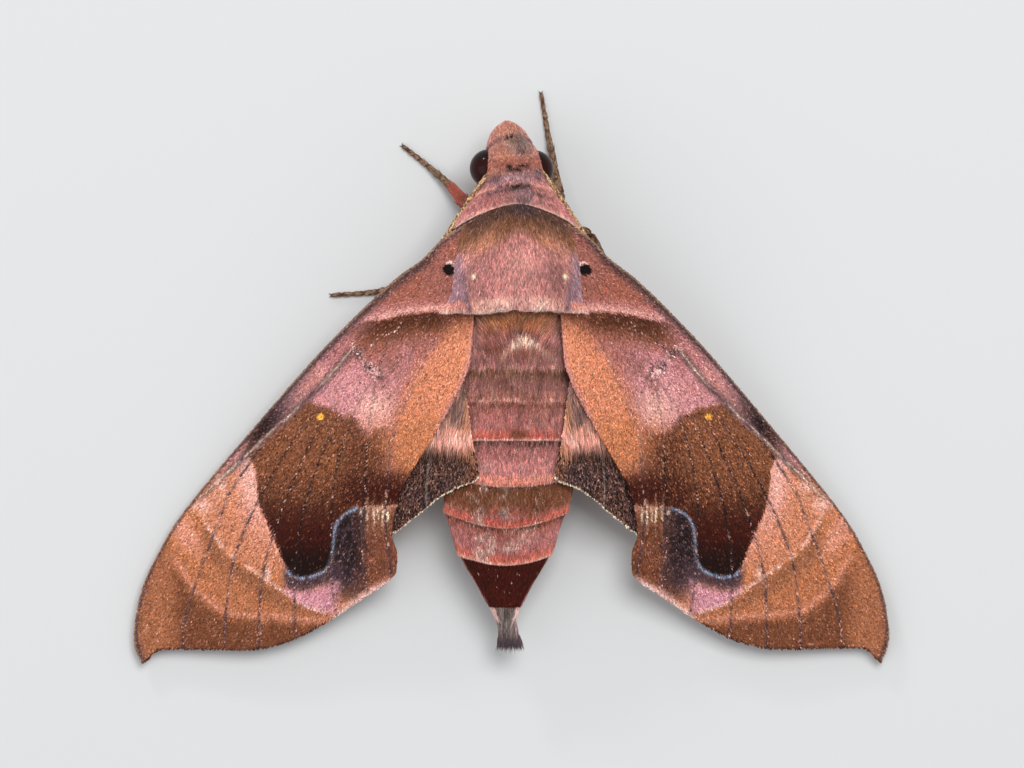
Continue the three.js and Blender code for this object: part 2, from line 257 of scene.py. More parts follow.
class Tint(Enum):
    """The moth's colours, as display red, green and blue from 0 to 255."""

    SALMON = (212, 146, 128)
    APRICOT = (204, 130, 98)
    PINK = (190, 130, 126)
    BLUSH = (224, 172, 160)
    CREAM = (240, 216, 186)
    CORAL = (182, 98, 84)
    ROSE = (170, 108, 104)
    FAWN = (160, 106, 93)
    RED_BROWN = (152, 90, 76)
    MAUVE = (140, 92, 88)
    VIOLET = (146, 112, 124)
    ORCHID = (200, 140, 152)
    DUSK = (66, 50, 58)
    ORANGE_BROWN = (170, 106, 73)
    GOLDEN = (180, 112, 72)
    GOLD = (240, 178, 70)
    BARK = (112, 66, 44)
    DARK_BROWN = (72, 38, 26)
    MAROON = (56, 17, 11)
    BLACK = (18, 11, 10)
    ASH = (140, 124, 114)
    SLATE = (138, 160, 190)
    TAN = (140, 114, 92)
    BUFF = (172, 130, 114)
    UMBER = (84, 56, 48)
    BRONZE = (124, 80, 58)
    AMBER = (180, 122, 94)
    SHELL = (226, 184, 176)
    STRAW = (196, 152, 108)


@dataclass
class Paint:
    """Colours of many points, mixed as display values and handed over as light."""

    colour: Array
    seed: int = 1

    @classmethod
    def plain(cls, count: int, tint: Tint, seed: int = 1) -> "Paint":
        """Every point in one colour."""
        return cls(np.tile(np.array(tint.value, float), (count, 1)), seed)

    def over(self, tint: Tint, amount: Array) -> None:
        """Lays a colour over the others, as strongly as amount says for each point."""
        self.colour += (np.array(tint.value, float) - self.colour) * np.clip(amount, 0, 1)[:, None]

    def layered(self, recipe: str, fields: Fields) -> None:
        """Lays the colours of a recipe over the others.

        Args:
            recipe: layers named by their tint; TINT*strength is dusted over single points picked at
                random, and the layer's amounts are their chances.
            fields: what the recipe reads.
        """
        for name, amount in layers(recipe, fields):
            tint, _, strength = name.partition("*")
            if strength:
                self.seed += 1
                picked = np.random.default_rng(self.seed).random(len(self.colour)) < amount
                amount = picked * float(strength)
            self.over(Tint[tint], amount)

    def combed(self, x: Array, y: Array, size: float, stretch: float, strength: Array) -> None:
        """Light and dark streaks of hair along y, of the given width and stretch."""
        streak = clouds(x, y / stretch, size, self.seed + 90) - 0.5
        self.colour *= 1 + 2 * (strength * streak)[:, None]

    def shaded(self, spread: float) -> "Paint":
        """Makes each point a little lighter or darker than its neighbours.

        Args:
            spread: the usual share of its light that a point gains or loses.

        Returns:
            This paint.
        """
        self.seed += 1
        self.colour *= 1 + spread * np.random.default_rng(self.seed).normal(size=(len(self.colour), 1))
        return self

    def light(self) -> Array:
        """The colours as linear light with an alpha of one.

        Returns:
            Red, green, blue and alpha for each point.
        """
        c = np.clip(self.colour / 255, 0, 1)
        linear = np.where(c <= 0.04045, c / 12.92, ((c + 0.055) / 1.055) ** 2.4)
        return np.hstack([linear, np.ones((len(c), 1))])


# ---- Finishes -----------------------------------------------------------------------------------


@dataclass
class Wiring:
    """A node tree, with a short way to add nodes and join them."""

    tree: bpy.types.NodeTree

    def add(self, kind: str, inputs: dict, output: int | str = 0, **options: object) -> bpy.types.NodeSocket:
        """Adds a node.

        Args:
            kind: its type.
            inputs: what its inputs are set or joined to.
            output: the one that is wanted.
            options: its settings.

        Returns:
            That output.
        """
        node = self.tree.nodes.new(kind)
        for name, value in options.items():
            setattr(node, name, value)
        self.feed(node, inputs)
        return node.outputs[output]

    def feed(self, node: bpy.types.Node, inputs: dict) -> None:
        """Sets a node's inputs to values, or joins them to other nodes' outputs.

        Args:
            node: the node.
            inputs: a value or an output for each input, by its name or number.
        """
        for name, value in inputs.items():
            if isinstance(value, bpy.types.NodeSocket):
                self.tree.links.new(value, node.inputs[name])
            else:
                node.inputs[name].default_value = value


@dataclass(frozen=True)
class Finish:
    """A surface of scales, fur or horn, coloured by the piece's own markings.

    Attributes:
        name: the material's name.
        roughness: of the surface.
        grain: the size of its fine relief, in millimetres.
        relief: how deep that relief looks.
        specular: the strength of its highlights.
        mottle: how much the colour changes from spot to spot.
        sheen: the soft shine of fine hair.
        gloss: the strength of a clear coat.
        stretch: how much longer the grain is along the body than across it.
        tone: how much of each colour is left, to make up for the shade that tufts throw on each other.
    """

    name: str
    roughness: float
    grain: float
    relief: float
    specular: float
    mottle: float
    sheen: float = 0.0
    gloss: float = 0.0
    stretch: float = 1.0
    tone: tuple[float, float, float] = (1.0, 1.0, 1.0)

    def made(self) -> bpy.types.Material:
        """Builds the material.

        Returns:
            The material, which is found if it was built before.
        """
        material = bpy.data.materials.get(self.name)
        if not material:
            material = bpy.data.materials.new(self.name)
            material.use_nodes = True
            wiring = Wiring(material.node_tree)
            own = wiring.add("ShaderNodeAttribute", {}, attribute_name=MARKINGS)
            place = wiring.add("ShaderNodeTexCoord", {}, "Object")
            wiring.feed(material.node_tree.nodes["Principled BSDF"], self.wired(wiring, own, place))
        return material

    def wired(self, wiring: Wiring, own: bpy.types.NodeSocket, place: bpy.types.NodeSocket) -> dict:
        """Wires the finish.

        Args:
            wiring: the material's nodes.
            own: the piece's markings.
            place: where on the piece it is.

        Returns:
            What the shader's inputs are set or joined to.
        """
        place = wiring.add("ShaderNodeMapping", {"Vector": place, "Scale": (1, 1 / self.stretch, 1)})
        grains = {"Vector": place, "Scale": 1 / (self.grain * MM), "Detail": 3}
        grain = wiring.add("ShaderNodeTexNoise", grains)
        ends = {"From Min": 0.3, "From Max": 0.7, "To Min": 1 - self.mottle, "To Max": 1 + self.mottle}
        spread = wiring.add("ShaderNodeMapRange", {"Value": grain, **ends})
        mixed = wiring.add("ShaderNodeVectorMath", {0: own, "Scale": spread}, operation="SCALE")
        toned = wiring.add("ShaderNodeVectorMath", {0: mixed, 1: self.tone}, operation="MULTIPLY")
        depth = {"Strength": self.relief, "Distance": self.grain * MM * 0.5}
        return {
            "Base Color": toned, "Normal": wiring.add("ShaderNodeBump", {"Height": grain, **depth}),
            "Roughness": self.roughness, "Specular IOR Level": self.specular, "Sheen Weight": self.sheen,
            "Sheen Roughness": 0.4, "Coat Weight": self.gloss, "Coat Roughness": 0.04,
        }  # fmt: skip


@dataclass(frozen=True)
class EyeFinish(Finish):
    """The deep gloss of a compound eye; its grain is the fine mesh of facets."""

    def wired(self, wiring: Wiring, own: bpy.types.NodeSocket, place: bpy.types.NodeSocket) -> dict:
        """Wires the facets.

        Args:
            wiring: the material's nodes.
            own: the piece's markings.
            place: where on the piece it is.

        Returns:
            What the shader's inputs are set or joined to.
        """
        cells = {"Vector": place, "Scale": 1 / (self.grain * MM), "Randomness": 0.35}
        facets = wiring.add("ShaderNodeTexVoronoi", cells)
        ends = {"From Max": 0.8, "To Min": 1.25, "To Max": 0.55}
        shade = wiring.add("ShaderNodeMapRange", {"Value": facets, **ends})
        depth = {"Strength": self.relief, "Distance": self.grain * MM * 0.3}
        return {
            "Base Color": wiring.add("ShaderNodeVectorMath", {0: own, "Scale": shade}, operation="SCALE"),
            "Normal": wiring.add("ShaderNodeBump", {"Height": facets, **depth}, invert=True),
            "Roughness": self.roughness, "Specular IOR Level": self.specular, "Coat Weight": self.gloss,
            "Coat IOR": 1.4, "Coat Roughness": 0.03,
        }  # fmt: skip


FUR = Finish("fur", 0.85, 0.06, 0.5, 0.08, 0.32, sheen=0.04, stretch=1.6, tone=(1.28, 1.4, 1.4))
WING = Finish("wing_scales", 0.6, 0.09, 0.5, 0.1, 0.42, tone=(1.16, 1.16, 1.16))
RINGS = Finish("ring_scales", 0.7, 0.07, 0.5, 0.1, 0.35, stretch=1.6, tone=(1.26, 1.3, 1.3))
LIMB = Finish("limb_scales", 0.65, 0.08, 0.5, 0.15, 0.35)
CLAW = Finish("claw_horn", 0.3, 0.05, 0.2, 0.5, 0.15, gloss=0.3)
EYE = EyeFinish("eye_facets", 0.3, 0.045, 0.04, 0.06, 0, gloss=0.22)


# ---- Meshes -------------------------------------------------------------------------------------


def new_piece(name: str, points: Array, faces: list, paint: Array, finish: Finish) -> bpy.types.Object:
    """Makes a smooth mesh piece with its markings.

    Args:
        name: the piece's name.
        points: its vertices, in millimetres.
        faces: the vertex numbers of each face, turning left seen from outside.
        paint: one linear colour for each vertex.
        finish: its finish.

    Returns:
        The new object, linked to the scene.
    """
    mesh = bpy.data.meshes.new(name)
    mesh.from_pydata((points * MM).tolist(), [], faces)
    store(mesh, MARKINGS, "FLOAT_COLOR", paint)
    mesh.polygons.foreach_set("use_smooth", np.ones(len(mesh.polygons), bool))
    mesh.materials.append(finish.made())
    mesh.update()
    return linked(name, mesh)


def store(mesh: bpy.types.Mesh, name: str, kind: str, values: Array) -> None:
    """Stores a value for each vertex of a mesh, under a name."""
    key = {"FLOAT_COLOR": "color", "FLOAT_VECTOR": "vector", "FLOAT": "value"}[kind]
    mesh.attributes.new(name, kind, "POINT").data.foreach_set(key, np.asarray(values, np.float32).ravel())


def linked(name: str, data: bpy.types.ID) -> bpy.types.Object:
    """Makes a new object and links it to the scene.

    Args:
        name: the object's name.
        data: its mesh, light or camera.

    Returns:
        The object.
    """
    made = bpy.data.objects.new(name, data)
    bpy.context.scene.collection.objects.link(made)
    return made


def mount(piece: bpy.types.Object, slot: str, *nodes: str) -> None:
    """Rides a piece on the body and reports it.

    Args:
        piece: the finished piece.
        slot: the record's slot that it is finished in; not used.
        nodes: the solids that it replaces.
    """
    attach(piece, "root")
    if nodes:
        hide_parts(*nodes)
    log.info("%s: %d triangles", piece.name, sum(len(face.vertices) - 2 for face in piece.data.polygons))


def grid_faces(rows: int, columns: int, ring: bool, flip: bool, start: int = 0) -> list:
    """The faces of a grid of vertices.

    Args:
        rows, columns: of the grid, whose vertices are numbered row by row.
        ring: whether the last column joins the first.
        flip: whether the faces turn the other way.
        start: the number of the grid's first vertex.

    Returns:
        The vertex numbers of each face.
    """
    i, j = np.meshgrid(np.arange(rows - 1), np.arange(columns if ring else columns - 1), indexing="ij")
    after = (j + 1) % columns
    corners = [i * columns + j, i * columns + after, (i + 1) * columns + after, (i + 1) * columns + j]
    return (np.stack(corners[::-1] if flip else corners, -1).reshape(-1, 4) + start).tolist()


def tube_faces(rows: int, columns: int, start: int = 0) -> list:
    """The faces of a ring-shaped grid and of its two closed ends.

    Args:
        rows, columns: of the grid; the middles of the two ends are numbered after it.
        start: the number of its first vertex.

    Returns:
        The vertex numbers of each face.
    """
    faces = grid_faces(rows, columns, True, True, start)
    middle, last = start + rows * columns, start + (rows - 1) * columns
    for j in range(columns):
        after = (j + 1) % columns
        faces += [[middle, start + j, start + after], [middle + 1, last + after, last + j]]
    return faces


@dataclass
class Roots:
    """Where tufts grow: places, the skin's facing, map places, the way they lie, colours and sizes."""

    row: Array
    column: Array
    places: Array
    facing: Array
    map: Array
    sizes: Array
    lie: Array | None = None
    paint: Array | None = None


@dataclass
class Patch:
    """A smooth grid of points, in millimetres.

    Attributes:
        points: rows by columns of points.
        ring: whether the last column joins the first.
        turned: whether the grid's own turning sense points its normals inwards.
    """

    points: Array
    ring: bool = False
    turned: bool = False
    facing: Array = field(init=False)

    def __post_init__(self) -> None:
        """Works out the outward normals."""
        p = self.points
        across = np.roll(p, -1, 1) - np.roll(p, 1, 1) if self.ring else np.gradient(p, axis=1)
        self.facing = unit(np.cross(across, np.gradient(p, axis=0))) * (-1 if self.turned else 1)

    def closed(self, name: str, paint: Paint, finish: Finish, ends: Array | None = None) -> bpy.types.Object:
        """Makes a ring-shaped grid a piece with closed ends.

        Args:
            name: the piece's name.
            paint: of its points.
            finish: of the piece.
            ends: the middles of the ends, if not in the plane of the grid's end rings.

        Returns:
            The piece.
        """
        ends = self.points[[0, -1]].mean(1) if ends is None else ends
        light = paint.light()
        points, light = np.vstack([self.points.reshape(-1, 3), ends]), np.vstack([light, light[[0, -1]]])
        return new_piece(name, points, tube_faces(*self.points.shape[:2]), light, finish)

    def read(self, values: Array, row: Array, column: Array) -> Array:
        """Values of the grid between its points.

        Args:
            values: for each point of the grid.
            row, column: the places that are read, as parts of a row and a column.

        Returns:
            The values there.
        """
        i = np.clip(row.astype(int), 0, values.shape[0] - 2)
        j = column.astype(int)
        s, t = (row - i)[:, None], (column - j)[:, None]
        after = (j + 1) % values.shape[1]
        near = values[i, j] * (1 - t) + values[i, after] * t
        return near * (1 - s) + (values[i + 1, j] * (1 - t) + values[i + 1, after] * t) * s

    def rooted(self, count: int, density: Array, seed: int) -> Roots:
        """Spreads places for tufts evenly over the grid.

        Args:
            count: how many.
            density: how thickly each point's cell is covered, beside the others.
            seed: for the places inside the cells.

        Returns:
            The roots, still without their lie and colours.
        """
        rows, columns = density.shape
        p = self.points
        if self.ring:
            p, density = np.concatenate([p, p[:, :1]], 1), np.concatenate([density, density[:, :1]], 1)
        side, step = p[:-1, 1:] - p[:-1, :-1], p[1:, :-1] - p[:-1, :-1]
        area = np.linalg.norm(np.cross(side, step), axis=-1)
        share = np.cumsum((area * (density[:-1, :-1] + density[1:, 1:]) / 2).ravel())
        rng = np.random.default_rng(seed)
        marks = (np.arange(count) + rng.random(count)) / count * share[-1]
        cell = np.clip(np.searchsorted(share, marks), 0, area.size - 1)
        row, column = np.divmod(cell, area.shape[1])
        row, column = row + rng.random(count), column + rng.random(count) * 0.999
        spot = np.stack([column / columns, 1 - row / rows], -1) * 0.99 + 0.002
        facing = unit(self.read(self.facing, row, column))
        return Roots(row, column, self.read(self.points, row, column), facing, spot, np.ones(count))


# ---- Coats --------------------------------------------------------------------------------------


@dataclass(frozen=True)
class Vane:
    """One scale, hair or lock: a small closed form that points along +Y, one long and one wide."""

    name: str
    points: Rows
    faces: Rows

    def made(self) -> bpy.types.Object:
        """The form as an object for the node tree, with its own place on the map.

        Returns:
            The object, which is found if it was made before.
        """
        found = bpy.data.objects.get(self.name)
        if found:
            return found
        mesh = bpy.data.meshes.new(self.name)
        mesh.from_pydata(self.points, [], [[int(corner) for corner in face] for face in self.faces])
        store(mesh, "own_place", "FLOAT_VECTOR", [(x + 0.5, y, 0) for x, y, _ in self.points])
        return bpy.data.objects.new(self.name, mesh)


SCALE = Vane("scale_vane", table("0 0 .3, -.5 .6 0, .5 .6 0, 0 1 .2"), table("0 2 3, 0 3 1, 0 1 2, 3 2 1"))
HAIR = Vane("hair_vane", table("-.5 0 0, .5 0 0, 0 0 .8, 0 1 .3"), table("0 1 2, 0 3 1, 1 3 2, 0 2 3"))
LOCK = Vane(
    "lock_vane",
    table("-.5 0 0, .5 0 0, 0 0 .8, -.42 .55 1, .42 .55 1, 0 .55 1.7, 0 1 .6"),
    table("0 1 2, 0 3 4 1, 1 4 5 2, 2 5 3 0, 3 6 4, 4 6 5, 5 6 3"),
)


@dataclass(frozen=True)
class Coat:
    """A coat of many like tufts, grown by a node tree.

    Attributes:
        name: the piece's name.
        vane: the form of one tuft.
        length: of a tuft.
        width: of a tuft.
        finish: of the coat.
        lift: how far a tuft stands off the skin, in degrees.
        stray: how far tufts turn from the lie, in degrees.
        seed: for what is random.
        shading: how much lighter or darker than the skin single tufts are.
        spread: how much the tufts differ in size.
    """

    name: str
    vane: Vane
    length: float
    width: float
    finish: Finish
    lift: float
    stray: float
    seed: int
    shading: float = 0.18
    spread: float = 0.3

    def tree(self) -> bpy.types.GeometryNodeTree:
        """Builds the node tree that puts a tuft on every point.

        Returns:
            The tree, which all coats share.
        """
        found = bpy.data.node_groups.get("coat_of_tufts")
        if found:
            return found
        group = bpy.data.node_groups.new("coat_of_tufts", "GeometryNodeTree")
        kinds = {
            "Geometry": "Geometry", "Tuft": "Object", "Length": "Float", "Width": "Float", "Spread": "Float",
            "Seed": "Int", "Finish": "Material",
        }  # fmt: skip
        for name, kind in kinds.items():
            group.interface.new_socket(name, in_out="INPUT", socket_type=f"NodeSocket{kind}")
        group.interface.new_socket("Geometry", in_out="OUTPUT", socket_type="NodeSocketGeometry")
        wiring = Wiring(group)
        add = wiring.add

        def named(name: str, kind: str = "FLOAT_VECTOR") -> bpy.types.NodeSocket:
            """Reads a named attribute."""
            return add("GeometryNodeInputNamedAttribute", {"Name": name}, data_type=kind)

        def times(a: bpy.types.NodeSocket, b: bpy.types.NodeSocket) -> bpy.types.NodeSocket:
            """Multiplies two numbers."""
            return add("ShaderNodeMath", {0: a, 1: b}, operation="MULTIPLY")

        given = group.nodes.new("NodeGroupInput").outputs
        tuft = add("GeometryNodeObjectInfo", {"Object": given["Tuft"]}, "Geometry")
        axes = {"Primary Axis": named("lie"), "Secondary Axis": named("facing")}
        turn = add("FunctionNodeAxesToRotation", axes, primary_axis="Y", secondary_axis="Z")
        # The random number's plain inputs 2 and 3 are its least and greatest value, and output 1 gives it.
        chances = {2: -1.0, 3: 1.0, "Seed": given["Seed"]}
        chance = add("FunctionNodeRandomValue", chances, 1, data_type="FLOAT")
        one = add("ShaderNodeMath", {0: times(chance, given["Spread"]), 1: 1.0}, operation="ADD")
        size = times(one, named("size", "FLOAT"))
        wide = times(size, given["Width"])
        scale = add("ShaderNodeCombineXYZ", {"X": wide, "Y": times(size, given["Length"]), "Z": wide})
        spots = {"Points": given["Geometry"], "Instance": tuft, "Rotation": turn, "Scale": scale}
        last = add("GeometryNodeRealizeInstances", {"Geometry": add("GeometryNodeInstanceOnPoints", spots)})
        small = add("ShaderNodeVectorMath", {0: named("own_place"), "Scale": TUFT_PATCH}, operation="SCALE")
        place = add("ShaderNodeVectorMath", {0: small, 1: named("root_place")}, operation="ADD")
        mapped = {"Geometry": last, "Name": BAKE_MAP, "Value": place}
        last = add("GeometryNodeStoreNamedAttribute", mapped, data_type="FLOAT2", domain="CORNER")
        for spent in ("lie", "facing", "size", "own_place", "root_place"):
            last = add("GeometryNodeRemoveAttribute", {"Geometry": last, "Name": spent})
        last = add("GeometryNodeSetMaterial", {"Geometry": last, "Material": given["Finish"]})
        wiring.feed(group.nodes.new("NodeGroupOutput"), {"Geometry": last})
        return group

    def grown(self, roots: Roots) -> bpy.types.Object:
        """Grows the coat.

        Args:
            roots: where its tufts stand.

        Returns:
            The coat as a plain mesh object.
        """
        rng = np.random.default_rng(self.seed)
        count = len(roots.places)
        lie = unit(roots.lie - (roots.lie * roots.facing).sum(1, keepdims=True) * roots.facing)
        turn = np.radians(self.stray) * rng.normal(size=(count, 1))
        lie = lie * np.cos(turn) + np.cross(roots.facing, lie) * np.sin(turn)
        rise = np.radians(self.lift) * (1 + 0.35 * rng.normal(size=(count, 1)))
        lie = lie * np.cos(rise) + roots.facing * np.sin(rise)
        mesh = bpy.data.meshes.new(self.name + "_roots")
        mesh.from_pydata((roots.places * MM).tolist(), [], [])
        flat = np.hstack([roots.map, np.zeros((count, 1))])
        for name, kind, values in (("lie", "FLOAT_VECTOR", lie), ("facing", "FLOAT_VECTOR", roots.facing),
                                   ("root_place", "FLOAT_VECTOR", flat), ("size", "FLOAT", roots.sizes),
                                   (MARKINGS, "FLOAT_COLOR", roots.paint)):  # fmt: skip
            store(mesh, name, kind, values)
        holder = linked(self.name + "_roots", mesh)
        modifier = holder.modifiers.new("coat", "NODES")
        modifier.node_group = self.tree()
        values = {"Tuft": self.vane.made(), "Length": self.length * MM, "Width": self.width * MM,
                  "Spread": self.spread, "Seed": self.seed, "Finish": self.finish.made()}  # fmt: skip
        for item in modifier.node_group.interface.items_tree:
            if item.in_out == "INPUT" and item.name in values:
                modifier[item.identifier] = values[item.name]
        bpy.context.view_layer.update()
        grown = bpy.data.meshes.new_from_object(holder.evaluated_get(bpy.context.evaluated_depsgraph_get()))
        grown.name = self.name
        holder.modifiers.remove(modifier)
        bpy.data.objects.remove(holder)
        return linked(self.name, grown)


# ---- The trunk ----------------------------------------------------------------------------------

# The back's colours from front to back: each station and its tint.
# The dark brown at 5.08, just behind the thorax's hind edge, is painted shadow under that edge.
BACK = """20.2 FAWN 17.4 FAWN 16.6 RED_BROWN 16.1 FAWN 15.7 MAUVE 15.3 ROSE 15.12 PINK 15 SALMON
14.86 ROSE 13.9 ROSE 13.6 PINK 13.53 BLUSH 13.47 BLUSH 13.42 UMBER 12.9 UMBER 12.1 BRONZE 11.4 BRONZE
10.3 PINK 9 PINK 7.2 PINK 6.5 PINK 6.1 BLUSH 5.6 BLUSH 5.15 SHELL 5.08 DARK_BROWN 4.8 BRONZE
4.1 ORANGE_BROWN 3.4 RED_BROWN 2.9 ROSE 2.3 RED_BROWN 1.3 MAUVE .9 ROSE .78 PINK .66 BRONZE -.6 MAUVE
-1.7 FAWN -1.86 PINK -1.97 RED_BROWN -3 ROSE -3.9 ROSE -4.4 CORAL -4.74 CORAL -4.8 SHELL -4.84 SHELL
-4.9 UMBER -5.1 MAUVE -5.8 ROSE -6.7 PINK -7.6 PINK -7.9 SALMON -8.25 SALMON -8.38 CORAL -8.45 SHELL
-8.5 UMBER -8.8 BRONZE -9.6 BRONZE -10.5 RED_BROWN -10.9 ROSE -11.15 CORAL -11.62 CORAL -11.68 BLUSH
-11.73 UMBER -12 RED_BROWN -12.8 ROSE -13.6 ROSE -14.25 CORAL -14.5 SALMON -14.58 SHELL -14.63 MAROON
-17.85 MAROON -17.95 UMBER -18.2 ASH -21 ASH"""

# The head's spots: tint and strength, then middle and half size across and along the body.
HEAD_SPOTS = """
ASH 1.4 .62 .85 18 .7, DUSK .6 .8 .5 17.9 .55, UMBER .8 .35 .4 18.4 .3, RED_BROWN .7 -.3 1.2 17 .8,
AMBER .5 -.6 .6 17.3 .4, AMBER .6 -.5 .8 19.2 .4, BLACK 1.7 .2 .7 16.15 .12, BLACK 1.4 .8 .35 16.42 .1,
BLACK 1.2 -.3 .2 16.45 .12, BLACK .7 1 .4 17.45 .12, SHELL .4 -.05 .1 18.9 .1, DUSK .9 -1.35 .35 15.65 .2,
DUSK .6 1.9 .3 15.9 .4, VIOLET .95 .2 1.6 15.6 .4, SHELL .4 .2 1.2 15.5 .35, DUSK .7 -1.5 .9 14.65 .22,
BLACK 1.2 .1 .75 14.75 .3, DUSK 1 -.9 .5 15.05 .14, DUSK 1 1 .4 14.9 .12, DUSK .9 1.35 1 14.4 .16,
ASH .75 .4 1.3 14.1 .5, VIOLET .95 .5 .9 14.2 .4, DUSK .9 .5 .45 13.65 .25"""

# The BLUSH patch down the middle of the thorax's back is a painted highlight on the top of the thorax.
THORAX = """
BRONZE .9 thorax patchy x/0:3.4:4.2 y:9.6:11.4
PINK .75 thorax x/.2:1.3:.3 y:11.9:10.8
UMBER .5 thorax x/.1:.9:1.9 x/0:4.2:3.4 y:11.2:11.8 patchy
AMBER 1.2 thorax patchy x~-2.5~1.2 left_slant~11.775~.85
MAUVE .5 thorax patchy x~-3~.95 y~8.2~1.9
AMBER 1.2 thorax patchy x~2.5~1.2 right_slant~11.575~.85
MAUVE 1 thorax patchy x~3~.95 y~8.2~1.9
CORAL .55 thorax y~5.9~.5 x/0:2.6:4.6
VIOLET .8 thorax beside:-.4:.3 y:11.4:9.8 swept:5.5:7
DUSK .22 thorax beside~0~.2 y:9.5:8
DUSK .9 thorax x/.5:1.5:.2 y:12.2:13.1 patchy
SHELL .45 thorax y~5.7~.5 x/.3:3.2:1.4
BLUSH .45 thorax x~.2~1.5 y:10.4:9.2 y:5.5:6.6 patchy
PINK .5 flank/0:.5:.95 y:16.4:17.4
"""

# DUSK along the palps is painted shade in the slanting groove between the palps and the face.
FACE_AND_WAIST = """
DUSK .55 palps
BLACK 1 @-.2@18.7:.17:.1 upper
BLACK 1 @.14@18.78:.17:.1 upper
CREAM 1 left_dot:.24:.14 upper
CREAM 1 right_dot:.24:.14 upper
PINK .8 x/0:2.2:3.6 y:5:4 y:.5:2.2
BUFF .45 pale_hair:.45:.75 y:5:3.4 y:-4.9:-3.5
UMBER .3 dark_hair:.55:.75 y:5:4.4 y:-4.9:-3.5
DUSK 1.1 tufts x~.2~1.3 dark_arc~3.5~.16
SHELL 1.5 x~.65~1.35 pale_arc~2.85~.3 tufts:.1:.4
CREAM .6 x~.65~1.35 pale_arc~2.85~.3 tufts:.1:.4
BARK .95 x~.3~.55 y~-4.4~.3
BLUSH .8 wobble~.85~.1 gaps:.4:.6
BLUSH .8 wobble~-1.8~.1 gaps:.4:.6
"""

ABDOMEN = """
BARK .75 y:-8.5:-8.9 y:-11.3:-10.6 x/-.3:.6:2.4
ASH .65 worn fade
BLUSH .25 worn y:-11:-12
SHELL*.8 .3 worn
ORCHID .8 y:-14.2:-15 up:.5:.25 cone cone_clouds:.35:.6 y:-15.6:-17.6
BLUSH .6 y:-13.9:-15 y:-17.9:-16.5 up~.08~.14
SHELL*.6 .007 cone untufted
BUFF 1 belly
"""

TRUNK_DUST = """
ASH .35 low belly_clouds:.4:.7
UMBER*.45 .12 !cone
SHELL*.4 .07 !cone
"""


